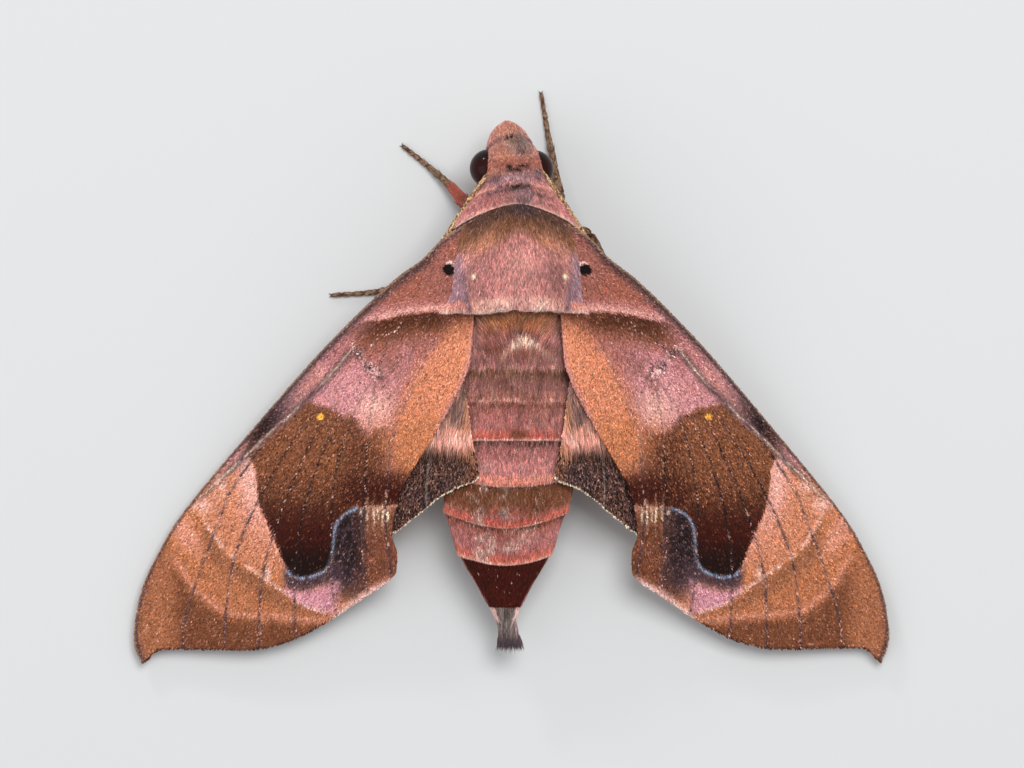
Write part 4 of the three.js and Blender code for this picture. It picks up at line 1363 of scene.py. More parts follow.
@dataclass
class ForewingMarkings:
    """The pattern of a forewing, drawn with a few named lines."""

    first_line: Trace = trace("2.5 5.2, 5.6 5.2, 7.6 5.1, 8.9 4.95, 10.2 4.6, 12.1 4.3, 14 3.4")
    streak: Trace = trace("12.9 2, 15 -.5, 16.3 -1.7, 17.7 -3.1, 19.2 -4.4, 20.8 -6, 22.5 -7.5, 24.6 -9.6")
    patch_rim: Trace = trace("""21.5 -5, 20.3 -6.7, 20 -8.7, 19.7 -10.2, 19 -11.8, 18.3 -13.4, 17.8 -14.7,
        17.3 -15.3, 16.5 -15.5, 15.6 -15.3, 14.8 -14.9, 14.3 -14.2, 14.15 -12.8, 13.9 -11.4, 13.3 -10.6,
        12.4 -10.1, 11 -9.9, 9 -9.8""")
    patch_head: Trace = trace("17.5 -.6, 16.4 -1.7, 15.2 -2.2, 13.9 -2.5, 12.6 -3.3, 11.4 -4.4, 9.6 -3.6")
    eye_line: Trace = trace("""17.7 -15, 17.3 -15.35, 16.5 -15.55, 15.6 -15.35, 14.8 -14.95, 14.3 -14.2,
        14.15 -12.8, 13.9 -11.4, 13.3 -10.6, 12.3 -10.1""")
    outer_line: Trace = trace("""25.4 -9.6, 24.6 -10.3, 23.8 -11.6, 22.6 -13.3, 21.5 -14.2, 19.6 -15.5,
        17.7 -16.8, 16.3 -17.7, 14.8 -18.2, 13.7 -18.4""")
    last_line: Trace = trace("""26.5 -14, 24.9 -16.4, 24 -17.2, 22.6 -18.2, 20.6 -18.5, 18.4 -18.6,
        16.6 -18.8, 14.1 -18.9""")
    inner_field: Trace = trace("4.4 5.6, 4.9 4.7, 6 2.6, 7.6 .5, 8.7 -1.9, 9.2 -3.7, 9.4 -9")
    shade: Trace = trace("8.8 3.2, 9.5 1.6, 10.3 -.1")
    smear: Trace = trace("12.6 2.5, 11.9 1.5, 11.4 .9, 10.7 .2")
    smear_arm: Trace = trace("11.7 2.3, 10.4 3.2, 8.9 4")

    def painted(self, x: Array, y: Array, edges: Fields, seed: int) -> Paint:
        """Paints points of the upper side.

        Args:
            x, y: the points.
            edges: how far each is from the front, the hind and the outer edge.
            seed: for what is random.

        Returns:
            The paint.
        """

        def off(line: Trace) -> Array:
            """How far the points lie from a line."""
            return line.measure(x, y)[0]

        def cloud(size: float, seed: int) -> Array:
            """Clouds over the wing."""
            return clouds(x, y, size, seed)

        rough = 0.22 * (cloud(0.5, seed) - 0.5)
        fine, first, rim = cloud(0.25, seed + 9), off(self.first_line) + rough, -off(self.patch_rim) + rough
        streak = off(self.streak)
        basal, beyond = ramp(-0.08, 0.08, first), ramp(0.05, -0.1, rim)
        middle = (1 - basal) * (1 - beyond)
        patch = middle * ramp(-0.35, 0.35, off(self.patch_head) + 3 * rough)
        patch *= ramp(0.0, -0.4, streak) * ramp(9.4, 12.0, x + 6 * rough)
        low = ramp(14.5, 12.0, x) * ramp(-5.2, -8.4, y + 5 * rough + 0.45 * (10 - x))
        deep = patch * ramp(-8, -11, y)
        gold = (0.09 + 0.2 * ramp(-2, -5, y) * (1 - beyond)) * (1 - 0.8 * deep)
        dark = ramp(-2.9, -0.5, first) * (1 - 0.7 * ramp(6.6, 4.4, x)) * ramp(13.5, 11.0, x)
        bay = ramp(11, 13, x + 6 * rough) * ramp(-18.2, -15.4, y + 3 * rough)
        smear = self.smear.band(x, y, 0.3) + bell(10.9, 0.4, x) * bell(0.6, 0.4, y)
        smear += 0.9 * self.smear_arm.band(x, y, 0.1) * ramp(0.4, 0.5, fine)
        fields = {
            **edges, "x": x, "y": y, "first": first, "rim": rim, "streak": streak, "basal": basal,
            "beyond": beyond, "middle": middle, "patch": patch, "fine": fine, "big": cloud(3.0, seed + 3),
            "outer": off(self.outer_line) + rough, "last": off(self.last_line) + 2 * rough,
            "inner": off(self.inner_field) + 3 * rough, "low": middle * low, "deep": deep,
            "dark": (1 - basal) * dark, "smear": smear, "smear_clouds": cloud(0.5, 77),
            "gold_dust": gold * (1 - 0.8 * ramp(14.5, 12.5, x) * ramp(-5.5, -7.5, y)),
            "shade": self.shade.band(x, y, 0.9) * ramp(0.3, 0.55, cloud(0.7, 87)),
            "lobe": ramp(-9.2, -11.0, y + 4 * rough) * ramp(13.6, 11.8, x + 4 * rough),
            "bay": beyond * ramp(14.5, 14, x) * bay, "y4": y + 4 * rough, "y5": y + 5 * rough,
            "x3": x + 3 * rough, "rim2": rim - 2 * rough, "rim3": rim - 3 * rough,
            "line_clouds": cloud(0.8, 5),
            "outer_line": self.outer_line.band(x, y, 0.13), "last_line": self.last_line.band(x, y, 0.25),
            "eye_line": self.eye_line.band(x, y, 0.13), "streak_shade": self.streak.band(x, y, 0.3),
            "streak_line": self.streak.band(x, y, 0.14), "streak_core": self.streak.band(x, y - 0.05, 0.06),
            "scuffs": noise(x * 3 + y * 3, x - y, 0.7, 83), "tongues": clouds(x * 4, y, 0.5, 71),
            "strength": 0.35 + 0.35 * beyond + 0.25 * ramp(-3, -6, y) - 0.3 * basal,
        }  # fmt: skip
        paint = Paint.plain(len(x), Tint.ROSE, seed)
        paint.layered(MIDDLE_FIELD + BASE_AND_OUTER_FIELD.lstrip() + LOBE_BAY_AND_LINES.lstrip(), fields)
        for k, vein in enumerate(FOREWING_VEINS[1:]):
            fields["vein"], run = vein.measure(x, y, 0.6)
            fields["dots"] = ramp(0.35, 0.6, noise(run, run * 0, 0.3, 60 + k))
            fields["dashes"] = 0.5 + 0.5 * fields["dots"]
            paint.layered(VEIN, fields)
        paint.layered(EDGE_SMEAR_AND_SPOTS, fields)
        return paint

    def beneath(self, x: Array, y: Array, edges: Fields) -> Paint:
        """Paints points of the underside.

        Args:
            x, y: the points.
            edges: how far each is from the front, the hind and the outer edge.

        Returns:
            The paint.
        """
        paint = Paint.plain(len(x), Tint.ORANGE_BROWN, 9)
        paint.over(Tint.BUFF, 0.7 * ramp(0.3, 0.7, clouds(x, y, 2.0, 15)))
        paint.over(Tint.RED_BROWN, 0.6 * ramp(-1, 5, y))
        paint.over(Tint.BARK, 0.7 * self.last_line.band(x, y, 0.5) + 0.5 * ramp(1.0, 0.2, edges["margin"]))
        for vein in FOREWING_VEINS:
            paint.over(Tint.DARK_BROWN, 0.5 * vein.band(x, y, 0.14))
        return paint


@dataclass
class HindwingMarkings:
    """The pattern of a hindwing: ash hair at the base, a pale band, then dark scales."""

    def painted(self, x: Array, y: Array, edges: Fields, seed: int) -> Paint:
        """Paints points of the upper side.

        Args:
            x, y: the points.
            edges: how far each is from the front, the hind and the outer edge.
            seed: for what is random.

        Returns:
            The paint.
        """
        fields = {
            **edges, "x": x, "y": y, "wide_clouds": clouds(x, y, 1.2, seed + 2),
            "band": y + 4.75 + 0.5 * (clouds(x, y, 0.5, seed) - 0.5), "streaks": clouds(x * 4, y, 1.2, 81),
        }  # fmt: skip
        paint = Paint.plain(len(x), Tint.UMBER, seed)
        paint.layered(HINDWING, fields)
        for vein in HINDWING_VEINS:
            fields |= {"vein": vein.band(x, y, 0.12), "beside_it": vein.band(x + 0.06, y, 0.06)}
            paint.layered("BLACK .5 vein y:-4.6:-5.4\nASH .8 beside_it y:-4.6:-5.4", fields)
        paint.layered("CREAM 1 margin:.14:.07", fields)
        return paint

    def beneath(self, x: Array, y: Array, edges: Fields) -> Paint:
        """Paints points of the underside.

        Args:
            x, y: the points.
            edges: how far each is from the front, the hind and the outer edge; not used.

        Returns:
            The paint.
        """
        paint = Paint.plain(len(x), Tint.BUFF, 19)
        paint.over(Tint.ORANGE_BROWN, 0.8 * ramp(0.3, 0.7, clouds(x, y, 1.8, 25)))
        return paint


@dataclass
class Wing:
    """A wing of one side, as a patch between four edges, with scales on its upper side.

    Attributes:
        costa, outer, inner, base: the edges, for the right side.
        rows, columns: of its grid.
        crowding: how strongly the grid crowds towards the front edge.
        trim: how much of the grid's width is left to the fringe at each edge.
        name: "forewing" or "hindwing".
        veins: under its scales.
        marks: its markings.
        bulge: how much thicker it is just behind the front edge.
        end, side: "left" and -1, or "right" and 1.
        roof: the heights.
        thick: the visible wing's thickness.
        sunk: how far the skin's upper side lies under the solid's.
    """

    costa: Trace
    outer: Trace
    inner: Trace
    base: Trace
    rows: int
    columns: int
    crowding: float
    trim: float
    name: str
    veins: tuple[Trace, ...]
    marks: ForewingMarkings | HindwingMarkings
    bulge: float
    end: str
    side: int
    roof: Roof
    thick: float = 0.24
    sunk: float = 0.06

    def plan(self) -> Array:
        """Spreads the grid between the four edges.

        Returns:
            The grid seen from above, as distance from the midline and y.
        """
        u = np.linspace(self.trim, 1 - self.trim, self.columns) ** self.crowding
        v = np.linspace(0.002, 1 - self.trim, self.rows)
        s, t = u[None, :, None], v[:, None, None]
        grid = self.costa.at(v)[:, None] * (1 - s) + self.inner.at(v)[:, None] * s
        grid += self.base.at(u)[None] * (1 - t) + self.outer.at(u)[None] * t
        front, hind = self.costa.at([0, 1]), self.inner.at([0, 1])
        return grid - (1 - s) * ((1 - t) * front[0] + t * front[1]) - s * ((1 - t) * hind[0] + t * hind[1])

    def shaped(self) -> Patch:
        """Works out the wing's plan and its upper side.

        Returns:
            Its lower side, which meets the upper one at the edges.
        """
        grid = self.plan()
        self.away, self.y = away, y = grid[..., 0], grid[..., 1]
        across, out = (np.linalg.norm(np.diff(grid, axis=axis), axis=-1) for axis in (1, 0))
        front = np.pad(np.cumsum(across, 1), ((0, 0), (1, 0)))
        margin = np.pad(np.cumsum(out[::-1], 0), ((1, 0), (0, 0)))[::-1]
        self.edges = {"front": front, "hind": front[:, -1:] - front, "margin": margin}
        near = np.clip(np.minimum.reduce(list(self.edges.values())) / 0.3, 0, 1)
        taper = np.sqrt(near * (2 - near))
        swell = 0.08 * (clouds(away, y, 2.6, 7) - 0.5) + 0.03 * (clouds(away, y, 0.8, 8) - 0.5)
        for vein in self.veins:
            distance = vein.measure(away.ravel(), y.ravel(), 1.2)[0].reshape(away.shape)
            swell += 0.05 * bell(0, 0.16, distance) - 0.035 * bell(0, 0.6, distance)
        height = getattr(self.roof, self.name)(away, y, self.side)
        middle = height - self.sunk - 0.5 * self.thick + swell * taper
        half = 0.5 * (self.thick + self.bulge * bell(0.4, 0.5, front)) * taper
        upper, lower = (np.stack([self.side * away, y, middle + z], -1) for z in (half, -half))
        self.upper = Patch(upper, turned=self.side < 0)
        return Patch(lower, turned=self.side > 0)

    def skin(self, seed: int) -> None:
        """Makes and mounts the closed skin of the wing.

        Args:
            seed: for what is random in its paint.
        """
        lower, upper, shape = self.shaped(), self.upper, self.away.shape
        inner = np.zeros(shape, bool)
        inner[1:-1, 1:-1] = True
        flat = self.away.ravel(), self.y.ravel(), {name: edge.ravel() for name, edge in self.edges.items()}
        number = np.arange(inner.size).reshape(shape)
        below = number.copy()
        below[inner] = inner.size + np.arange(inner.sum())
        points = np.vstack([upper.points.reshape(-1, 3), lower.points[inner]])
        # The two sides meet in the middle of the edge.
        points[number[~inner]] = (upper.points[~inner] + lower.points[~inner]) / 2
        under = np.array(grid_faces(*shape, False, flip=self.side > 0))
        faces = grid_faces(*shape, False, flip=self.side < 0) + below.ravel()[under].tolist()
        beneath = self.marks.beneath(*flat).shaded(0.08).light()
        paint = np.vstack([self.marks.painted(*flat, seed).light(), beneath[inner.ravel()]])
        piece = new_piece(f"{self.name}_skin_{self.end}", points, faces, paint, WING)
        mount(piece, f"{self.name}_scales", f"{self.name}_{self.end}")

    def grow(
        self, coat: Coat, count: int, density: Array, roots_seed: int, paint_seed: int, shading: float
    ) -> None:
        """Grows a coat on the upper side and mounts it.

        Args:
            coat: the kind of coat.
            count: how many tufts.
            density: where, over the grid.
            roots_seed: for the places.
            paint_seed: for the colours.
            shading: how much lighter or darker than the skin single tufts are.
        """
        roots = self.upper.rooted(count, density, roots_seed)
        x, y = np.abs(roots.places[:, 0]), roots.places[:, 1]
        # Scales lie outwards from the wing's hinge, and long hair backwards.
        roots.lie = unit(np.stack([self.side * (x - 2.5), y - 11.5, 0 * y], -1))
        if coat.vane is LOCK:
            roots.lie, y = np.tile([self.side * 0.16, -1.0, 0.0], (count, 1)), y - 0.35
        if coat.name.startswith("hindwing_fringe"):
            paint = Paint.plain(count, Tint.SHELL, paint_seed)
        else:
            edges = {name: self.upper.read(edge[..., None], roots.row, roots.column)[:, 0]
                     for name, edge in self.edges.items()}  # fmt: skip
            paint = self.marks.painted(x, y, edges, paint_seed)
        roots.paint = paint.shaded(shading).light()
        mount(coat.grown(roots), f"{self.name}_scales")


# The wings' four edges: front, outer, inner and base.
FOREWING_EDGES = (
    trace("""3.6 12.2, 4.6 11.55, 5.8 10.75, 7.35 9.2, 9.95 7.2, 15 2.2, 21.1 -4.8, 25.65 -10.3, 27.6 -13.4,
        29.05 -16.55, 29.65 -19.7, 29.5 -21.25, 28.95 -22.45"""),
    trace("""28.95 -22.45, 28.5 -22.05, 27.95 -21.5, 27 -21.25, 22.8 -21.3, 19.9 -21.25, 17.05 -20.45,
        14.15 -18.85, 11.3 -16.95, 9.85 -15.95, 9.2 -15.2"""),
    trace("""3.4 4.9, 3.55 2.2, 3.85 .45, 5.2 -2.35, 7.1 -5.55, 8.7 -8.3, 9.3 -10.2, 9.55 -12.25, 9.15 -13.6,
        9.2 -15.2"""),
    trace("3.6 12.2, 3.3 8.5, 3.4 4.9"),
)
HINDWING_EDGES = (
    trace("4.9 4.8, 8.6 1.8, 12.5 -2.6, 16 -7.2, 18.2 -11.2, 18.5 -12.7"),
    trace("""18.5 -12.7, 17.2 -13.9, 14.8 -14.35, 12.1 -13.55, 9.7 -12.3, 7.65 -10.75, 5.95 -9.3, 4.5 -8.4,
        3.5 -8.05, 2.85 -7.6"""),
    trace("4.55 3.2, 4.3 1, 3.9 -1.5, 3.4 -4.8, 3.1 -6.2, 2.85 -7.6"),
    trace("4.9 4.8, 4.7 4, 4.55 3.2"),
)


@dataclass
class Wings:
    """The four wings with their scales, hair and fringes."""

    roof: Roof
    fore_scales: int = 46000
    hind_scales: int = 20000
    hind_hairs: int = 5200
    fringe_hairs: int = 2600

    def dressed(self) -> None:
        """Makes the wings of both sides."""
        for end, side in SIDES:
            fore = Wing(
                *FOREWING_EDGES, rows=180, columns=122, crowding=1.25, trim=0.0015, name="forewing",
                veins=FOREWING_VEINS, marks=ForewingMarkings(), bulge=0.12, end=end, side=side,
                roof=self.roof,
            )  # fmt: skip
            fore.skin(100 + side)
            scales = Coat(f"forewing_coat_{end}", SCALE, 0.2, 0.1, WING, lift=9, stray=14, seed=210 + side)
            density = np.where(fore.edges["margin"] < 0.3, 1.25, 1.0) * np.where(fore.away < 4.3, 0.3, 1.0)
            fore.grow(scales, self.fore_scales, density, 200 + side, 300 + side, 0.14)
            hinder = Wing(
                *HINDWING_EDGES, rows=100, columns=80, crowding=1, trim=0.006, name="hindwing",
                veins=HINDWING_VEINS, marks=HindwingMarkings(), bulge=0, end=end, side=side, roof=self.roof,
            )  # fmt: skip
            hinder.skin(400 + side)
            away, y = hinder.away, hinder.y
            scales = Coat(f"hindwing_coat_{end}", SCALE, 0.25, 0.13, WING, lift=10, stray=14, seed=430 + side)
            shown = ramp(11.5, 9.5, away + 0.55 * (y + 8)) + 0.25
            hinder.grow(scales, self.hind_scales, shown, 410 + side, 420 + side, 0.16)
            hair = Coat(f"hindwing_hair_{end}", LOCK, 1.3, 0.065, FUR, lift=6, stray=6, seed=460 + side)
            hairy = ramp(-5.6, -4.8, y) * ramp(9.5, 7.5, away)
            hinder.grow(hair, self.hind_hairs, hairy, 440 + side, 450 + side, 0.16)
            fringe = Coat(f"hindwing_fringe_{end}", HAIR, 0.17, 0.05, FUR, lift=3, stray=10, seed=490 + side)
            edge = (hinder.edges["margin"] < 0.12) * 1.0
            hinder.grow(fringe, self.fringe_hairs, edge, 470 + side, 480, 0.08)


# ---- Eyes, legs and feelers ---------------------------------------------------------------------


@dataclass
class Eyes:
    """The two compound eyes, set in the sides of the head."""

    trunk: Trunk
    left: tuple[float, ...] = (-1.79, 16.5, 5.0)
    right: tuple[float, ...] = (1.78, 16.15, 5.0)
    radius: float = 1.5
    rows: int = 64
    columns: int = 96

    def dressed(self) -> None:
        """Makes both eyes."""
        rows = np.linspace(0.02, math.pi - 0.02, self.rows)
        lat, lon = np.meshgrid(rows, around(self.columns), indexing="ij")
        ball = np.stack([np.cos(lat), np.sin(lat) * np.cos(lon), np.sin(lat) * np.sin(lon)], -1)
        ball *= self.radius
        poles = np.array([[1, 0, 0], [-1, 0, 0]]) * self.radius
        paint = Paint.plain(lat.size, Tint.MAROON, 5)
        paint.over(Tint.BLACK, 0.25 + 0.5 * ramp(0.2, 1.2, ball[..., 1].ravel()))
        for end, place in (("left", self.left), ("right", self.right)):
            centre = self.trunk.posed(np.array([place]))
            piece = Patch(centre + ball, ring=True).closed(f"eye_ball_{end}", paint, EYE, centre + poles)
            mount(piece, "eye_gloss", f"eye_{end}")


@dataclass
class Limb:
    """A tapering limb along a smooth line, with joints and rings.

    Attributes:
        kind: "leg" or "feeler", in its pieces' and slots' names.
        end: which one.
        node: the solid it replaces.
        painted: gives the paint for the shares and angles of its points.
        path: its centre line.
        radii: its radius along the line.
        rows, columns: of its grid.
        joints: the shares of its length where it narrows.
        ring: the spacing of its fine rings, or 0.
    """

    kind: str
    end: str
    node: str
    painted: Callable[[Array, Array], Paint]
    path: Array
    radii: tuple[float, ...]
    rows: int
    columns: int
    joints: tuple[float, ...] = ()
    ring: float = 0.0

    def line(self) -> Array:
        """Draws the centre line, a curve through the path that doesn't overshoot.

        Returns:
            Its points.
        """
        p = np.vstack([2 * self.path[0] - self.path[1], self.path, 2 * self.path[-1] - self.path[-2]])
        knots = np.concatenate([[0], np.cumsum(np.linalg.norm(np.diff(p, axis=0), axis=1) ** 0.5)])

        def between(i: int, j: int, t: Array, a: Array, b: Array) -> Array:
            """The mix of two points, between two knots."""
            return (knots[j] - t) / (knots[j] - knots[i]) * a + (t - knots[i]) / (knots[j] - knots[i]) * b

        out = []
        for i in range(1, len(p) - 2):
            t = np.linspace(knots[i], knots[i + 1], 40, endpoint=False)[:, None]
            a, b, c = (between(k, k + 1, t, p[k], p[k + 1]) for k in (i - 1, i, i + 1))
            out.append(between(i, i + 1, t, between(i - 1, i + 1, t, a, b), between(i, i + 2, t, b, c)))
        return np.vstack([*out, p[-2:-1]])

    def shaped(self) -> None:
        """Works out the limb's centre, way and surface."""
        line = self.line()
        run = run_of(line)
        self.share = share = np.linspace(0, 1, self.rows)
        self.centre = read_at(share * run[-1], run, line)
        self.way = unit(np.gradient(self.centre, axis=0))
        radius = along(tuple(zip(np.linspace(0, 1, len(self.radii)), self.radii)), share)
        for joint in self.joints:
            radius *= 1 - 0.28 * bell(joint, 0.008, share)
            radius *= 1 + 0.1 * bell(joint - 0.022, 0.014, share)
        if self.ring:
            radius *= 1 + 0.06 * np.sin(share * run[-1] / self.ring * 2 * math.pi)
        radius *= np.sqrt(np.clip((1 - share) / 0.012, 0.05, 1))
        self.patch = tube(self.centre, unit(np.cross(self.way, [0, 0, 1])), self.way, radius, self.columns)

    def dressed(self, coat: Coat, count: int, seed: int, above: float = -1) -> None:
        """Makes and mounts the limb's skin and its coat.

        Args:
            coat: of scales that lie along the limb.
            count: how many.
            seed: for their places.
            above: the height above which they grow.
        """
        self.shaped()
        share, turn = np.meshgrid(self.share, around(self.columns), indexing="ij")
        paint = self.painted(share.ravel(), turn.ravel())
        skin = self.patch.closed(f"{self.kind}_skin_{self.end}", paint, LIMB)
        mount(skin, f"{self.kind}_scales", self.node)
        roots = self.patch.rooted(count, (self.patch.points[..., 2] > above) * 1.0, seed)
        share, turn = roots.row / (self.rows - 1), roots.column / self.columns
        paint = self.painted(share, turn * 2 * math.pi).shaded(0.15)
        if self.kind == "leg":
            roots.sizes = 1.1 - 0.5 * share
        if self.end == "fore_left":  # it has a tuft of red hair on its shin
            red = ramp(0.22, 0.3, share) * ramp(0.52, 0.44, share)
            paint.over(Tint.CORAL, red * 0.85)
            roots.sizes = roots.sizes * (1 + 1.1 * red)
        roots.map = np.stack([turn, 1 - share], -1) * 0.98 + 0.005
        roots.lie, roots.paint = read_at(share, self.share, self.way), paint.light()
        mount(coat.grown(roots), f"{self.kind}_scales")


def tube(centre: Array, one: Array, way: Array, radius: Array, columns: int) -> Patch:
    """The surface round a line.

    Args:
        centre: the line's points.
        one: a direction across the line, at each of them.
        way: the line's way there.
        radius: the radius there.
        columns: how many points go round it.

    Returns:
        The surface, which stays above the floor.
    """
    angle = around(columns)[:, None]
    ring = one[:, None] * np.cos(angle) + np.cross(one, way)[:, None] * np.sin(angle)
    points = centre[:, None] + ring * radius[:, None, None]
    points[..., 2] = np.maximum(points[..., 2], 0)
    return Patch(points, ring=True, turned=True)


@dataclass
class Legs:
    """Six legs: thigh, shin with spurs, five-jointed foot and claws, under flat scales."""

    paths: dict[str, Rows] = field(default_factory=lambda: {
        "fore_left": table("-1.7 12.4 3.2, -3.2 13.2 2.2, -4.95 15.15 1, -6.65 16.7 .3, -8.6 18.25 .2"),
        "fore_right": table("1.7 12.4 3.2, 3.45 13.2 2.3, 3.3 16.5 1, 2.8 19.4 .3, 2.3 22.4 .2"),
        "mid_left": table("-2 8.6 3.2, -4.9 9.9 3.3, -7.9 7.5 1.2, -10.6 6.8 .3, -14.2 6.5 .2"),
        "mid_right": table("2 8.8 3.2, 5.25 11.35 3.7, 8 7.6 1.2, 9.9 5.2 .3, 11.9 2.2 .2"),
        "hind_left": table("-2.2 7.2 3, -6.5 5.6 3.2, -9.5 -1.2 1.2, -11 -5 .3, -12.9 -8.6 .2"),
        "hind_right": table("2.2 7.2 3, 6.5 5.6 3.2, 9.5 -1.2 1.2, 11 -5 .3, 12.9 -8.6 .2"),
    })  # fmt: skip
    radii: Rows = table("""0.5 .4 .26 .17 .14, .5 .42 .24 .17 .14, .55 .45 .28 .19 .15, .55 .46 .28 .19 .15,
        .55 .48 .29 .19 .15, .55 .48 .29 .19 .15""")
    joints: tuple[float, ...] = (0.3, 0.6, 0.74, 0.82, 0.88, 0.94)
    spurs: tuple[float, ...] = (0.45, 0.59)
    horn_grid: tuple[int, int] = (8, 6)  # rows and columns of a claw or a spur
    scales: int = 2400

    def painted(self, share: Array, turn: Array) -> Paint:
        """Paints points tan with dark specks, darker at the joints.

        Args:
            share: how far along the leg each lies.
            turn: its angle round the leg.

        Returns:
            The paint.
        """
        paint = Paint.plain(len(share), Tint.TAN, 61)
        paint.over(Tint.DARK_BROWN, 0.8 * ramp(0.5, 0.68, clouds(share * 30, turn, 0.5, 62)))
        for joint in self.joints:
            paint.over(Tint.DARK_BROWN, 0.6 * bell(joint, 0.01, share))
        return paint.shaded(0.1)

    def dressed(self) -> None:
        """Makes all the legs, with their scales and claws."""
        for k, (end, path) in enumerate(self.paths.items()):
            limb = Limb(
                "leg", end, f"leg_{end}", self.painted, np.array(path), self.radii[k],
                rows=190, columns=18, joints=self.joints,
            )  # fmt: skip
            coat = Coat(f"leg_coat_{end}", HAIR, 0.24, 0.07, LIMB, lift=6, stray=10, seed=70 + k)
            limb.dressed(coat, self.scales, coat.seed, above=0.12)
            self.claws(limb)

    def claws(self, limb: Limb) -> None:
        """Makes and mounts two hooked claws and the spurs of the shin, as one piece.

        Args:
            limb: the leg.
        """
        tip, way = limb.centre[-1], limb.way[-1]
        sideways = unit(np.cross(way, [0, 0, 1.0]))
        horns = []
        for turn in (-1, 1):
            reach = way * 0.14 + sideways * turn * 0.12
            point = tip + reach * 1.4
            point[2] = 0.03
            horns.append((tip - way * 0.2, tip + reach * 0.8 + np.array([0, 0, 0.02]), point, 0.055))
        for share in self.spurs:
            at, way = (values[int(share * (limb.rows - 1))] for values in (limb.centre, limb.way))
            for turn in (-1, 1):
                out = unit(np.cross(way, [0, 0, 1.0])) * turn
                start = at + out * 0.16
                horns.append((start, start + way * 0.4 + out * 0.12, start + way * 0.8 + out * 0.16, 0.045))
        points, faces = [], []
        rows, columns = self.horn_grid
        t = np.linspace(0, 1, rows)[:, None]
        for a, b, c, radius in horns:
            line = a * (1 - t) ** 2 + 2 * b * t * (1 - t) + c * t**2
            forward = unit(np.gradient(line, axis=0))
            one = unit(np.cross(forward, [0.1, 0.2, 1.0]))
            horn = tube(line, one, forward, radius * (1 - 0.85 * t[:, 0] ** 1.3), columns).points
            faces += tube_faces(rows, columns, start=len(points) * (rows * columns + 2))
            points.append(np.vstack([horn.reshape(-1, 3), a, c]))
        stacked = np.vstack(points)
        paint = Paint.plain(len(stacked), Tint.BLACK)
        mount(new_piece(f"leg_claws_{limb.end}", stacked, faces, paint.light(), CLAW), "leg_scales")


@dataclass
class Feelers:
    """Two feelers that lie back along the neck and go under the wings' front edges."""

    path: Rows = table("""1.6 16.5 6, 2.2 15.85 6.5, 2.9 14.9 6.4, 3.85 13.5 6.2, 4.7 12.1 6.25,
        5.75 10.4 6.1, 7.6 7.7 5.5, 9.3 5.4 5, 10.3 4 4.8""")
    radii: tuple[float, ...] = (0.14, 0.15, 0.17, 0.2, 0.24, 0.26, 0.26, 0.24, 0.16)
    ring: float = 0.2
    scales: int = 5200

    def painted(self, share: Array, turn: Array) -> Paint:
        """Paints points tan gold above and dark below, with dark specks.

        Args:
            share: how far along the feeler each lies.
            turn: its angle round the feeler.

        Returns:
            The paint.
        """
        paint = Paint.plain(len(share), Tint.STRAW, 91)
        paint.over(Tint.CREAM, 0.5 * ramp(0.3, 0.7, clouds(share * 60, turn, 0.4, 93)))
        paint.over(Tint.DARK_BROWN, 0.8 * ramp(0.5, 0.64, clouds(share * 50, turn * 0.7, 0.4, 92)))
        paint.over(Tint.DARK_BROWN, 0.85 * ramp(0.25, -0.3, np.sin(turn)))
        return paint.shaded(0.12)

    def dressed(self) -> None:
        """Makes both feelers with their scales."""
        for end, side in SIDES:
            path = np.array(self.path) * (side, 1, 1)
            limb = Limb(
                "feeler", end, f"antenna_{end}", self.painted, path, self.radii,
                rows=300, columns=16, ring=self.ring,
            )  # fmt: skip
            coat = Coat(f"feeler_coat_{end}", SCALE, 0.13, 0.07, LIMB, lift=12, stray=10, seed=97)
            limb.dressed(coat, self.scales, seed=95)


# ---- The studio ---------------------------------------------------------------------------------


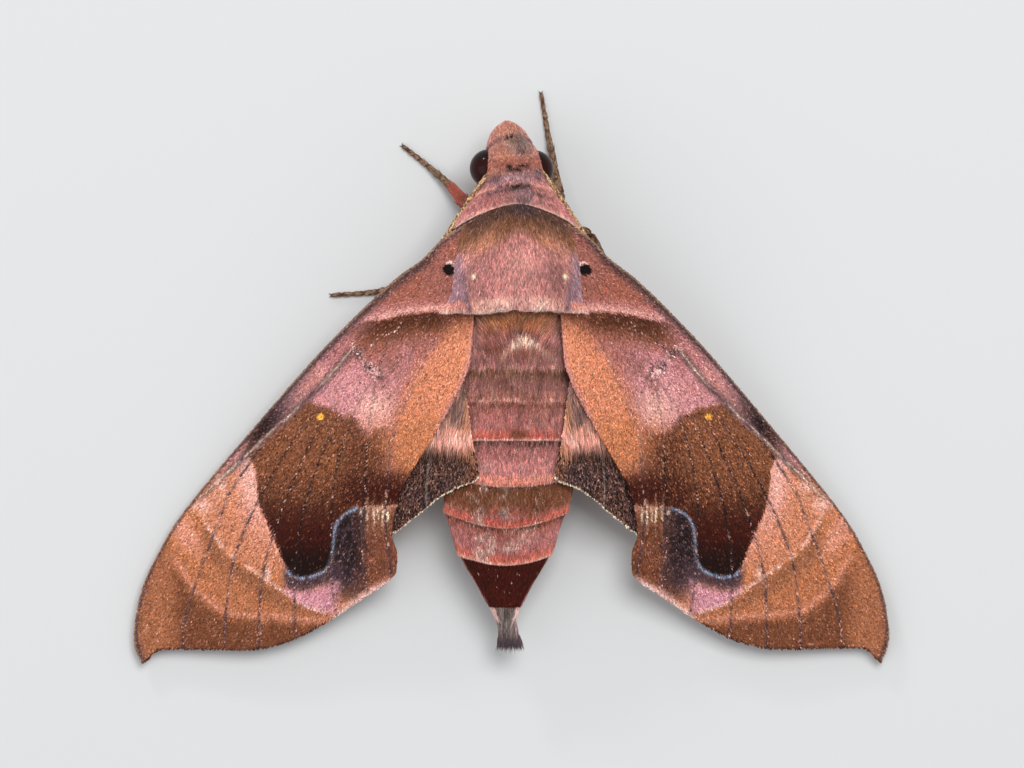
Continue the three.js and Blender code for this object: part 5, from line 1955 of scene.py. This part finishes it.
@dataclass
class Studio:
    """A plain pale floor, soft light, and a camera that looks down on the moth.

    Attributes:
        lean: how far the camera leans to the left of straight down, in degrees.
        field: the width of what it sees, level with the wings' middle height.
        centre: what it looks at.
        distance: how far off it is.
        floor_radius: in metres.
        floor_corners: of its rim.
        floor_colour: as linear light.
        lamps: each lamp's place, size and power.
    """

    lean: float = 2.8
    field: float = 79.9
    centre: tuple[float, ...] = (-0.23, -0.47, 5.0)
    distance: float = 600
    floor_radius: float = 0.9
    floor_corners: int = 64
    floor_colour: tuple[float, ...] = (0.615, 0.625, 0.63, 1)
    lamps: tuple[tuple, ...] = (
        ("key", (0.1, 0.22, 0.58), 0.34, 2.8),
        ("fill", (-0.45, -0.1, 0.45), 0.5, 0.8),
        ("glint", (-0.25, 0.46, 0.2), 0.06, 0.5),
    )

    def floor(self) -> None:
        """The floor: a wide pale disc."""
        mesh = bpy.data.meshes.new("floor")
        turns = around(self.floor_corners)
        ring = [(self.floor_radius * math.cos(a), self.floor_radius * math.sin(a), 0) for a in turns]
        mesh.from_pydata(ring, [], [list(range(self.floor_corners))])
        material = bpy.data.materials.new("pale_floor")
        material.use_nodes = True
        shader = material.node_tree.nodes["Principled BSDF"]
        shader.inputs["Base Color"].default_value = self.floor_colour
        shader.inputs["Roughness"].default_value = 0.9
        shader.inputs["Specular IOR Level"].default_value = 0.1
        mesh.materials.append(material)
        linked("floor", mesh)

    def dressed(self) -> None:
        """Sets floor, lamps, world and camera."""
        scene = bpy.context.scene
        self.floor()
        for name, place, size, power in self.lamps:
            data = bpy.data.lights.new(name, "AREA")
            data.size, data.energy = size, power
            lamp = linked(name, data)
            lamp.location = place
            lamp.rotation_mode = "QUATERNION"
            lamp.rotation_quaternion = (-Vector(place)).to_track_quat("-Z", "Y")
        world = scene.world = bpy.data.worlds.new("studio")
        world.use_nodes = True
        light = world.node_tree.nodes["Background"].inputs
        light["Color"].default_value, light["Strength"].default_value = (1, 1, 1, 1), 0.5
        data = bpy.data.cameras.new("camera")
        data.sensor_width = 36
        data.lens = data.sensor_width * self.distance / self.field
        data.clip_start, data.clip_end = 0.01, 10
        camera = scene.camera = linked("camera", data)
        lean = math.radians(self.lean)
        back = np.array([-math.sin(lean), 0, math.cos(lean)])
        camera.location = (np.array(self.centre) + back * self.distance) * MM
        camera.rotation_euler = (0, -lean, 0)
        scene.view_settings.view_transform = "Standard"


def main() -> None:
    """Builds the moth and the studio."""
    logging.basicConfig(level=logging.INFO, format="%(name)s %(message)s")
    trunk = Trunk()
    Studio().dressed()
    trunk.dressed()
    Wings(Roof(trunk)).dressed()
    Eyes(trunk).dressed()
    Legs().dressed()
    Feelers().dressed()


if __name__ == "__main__":
    main()
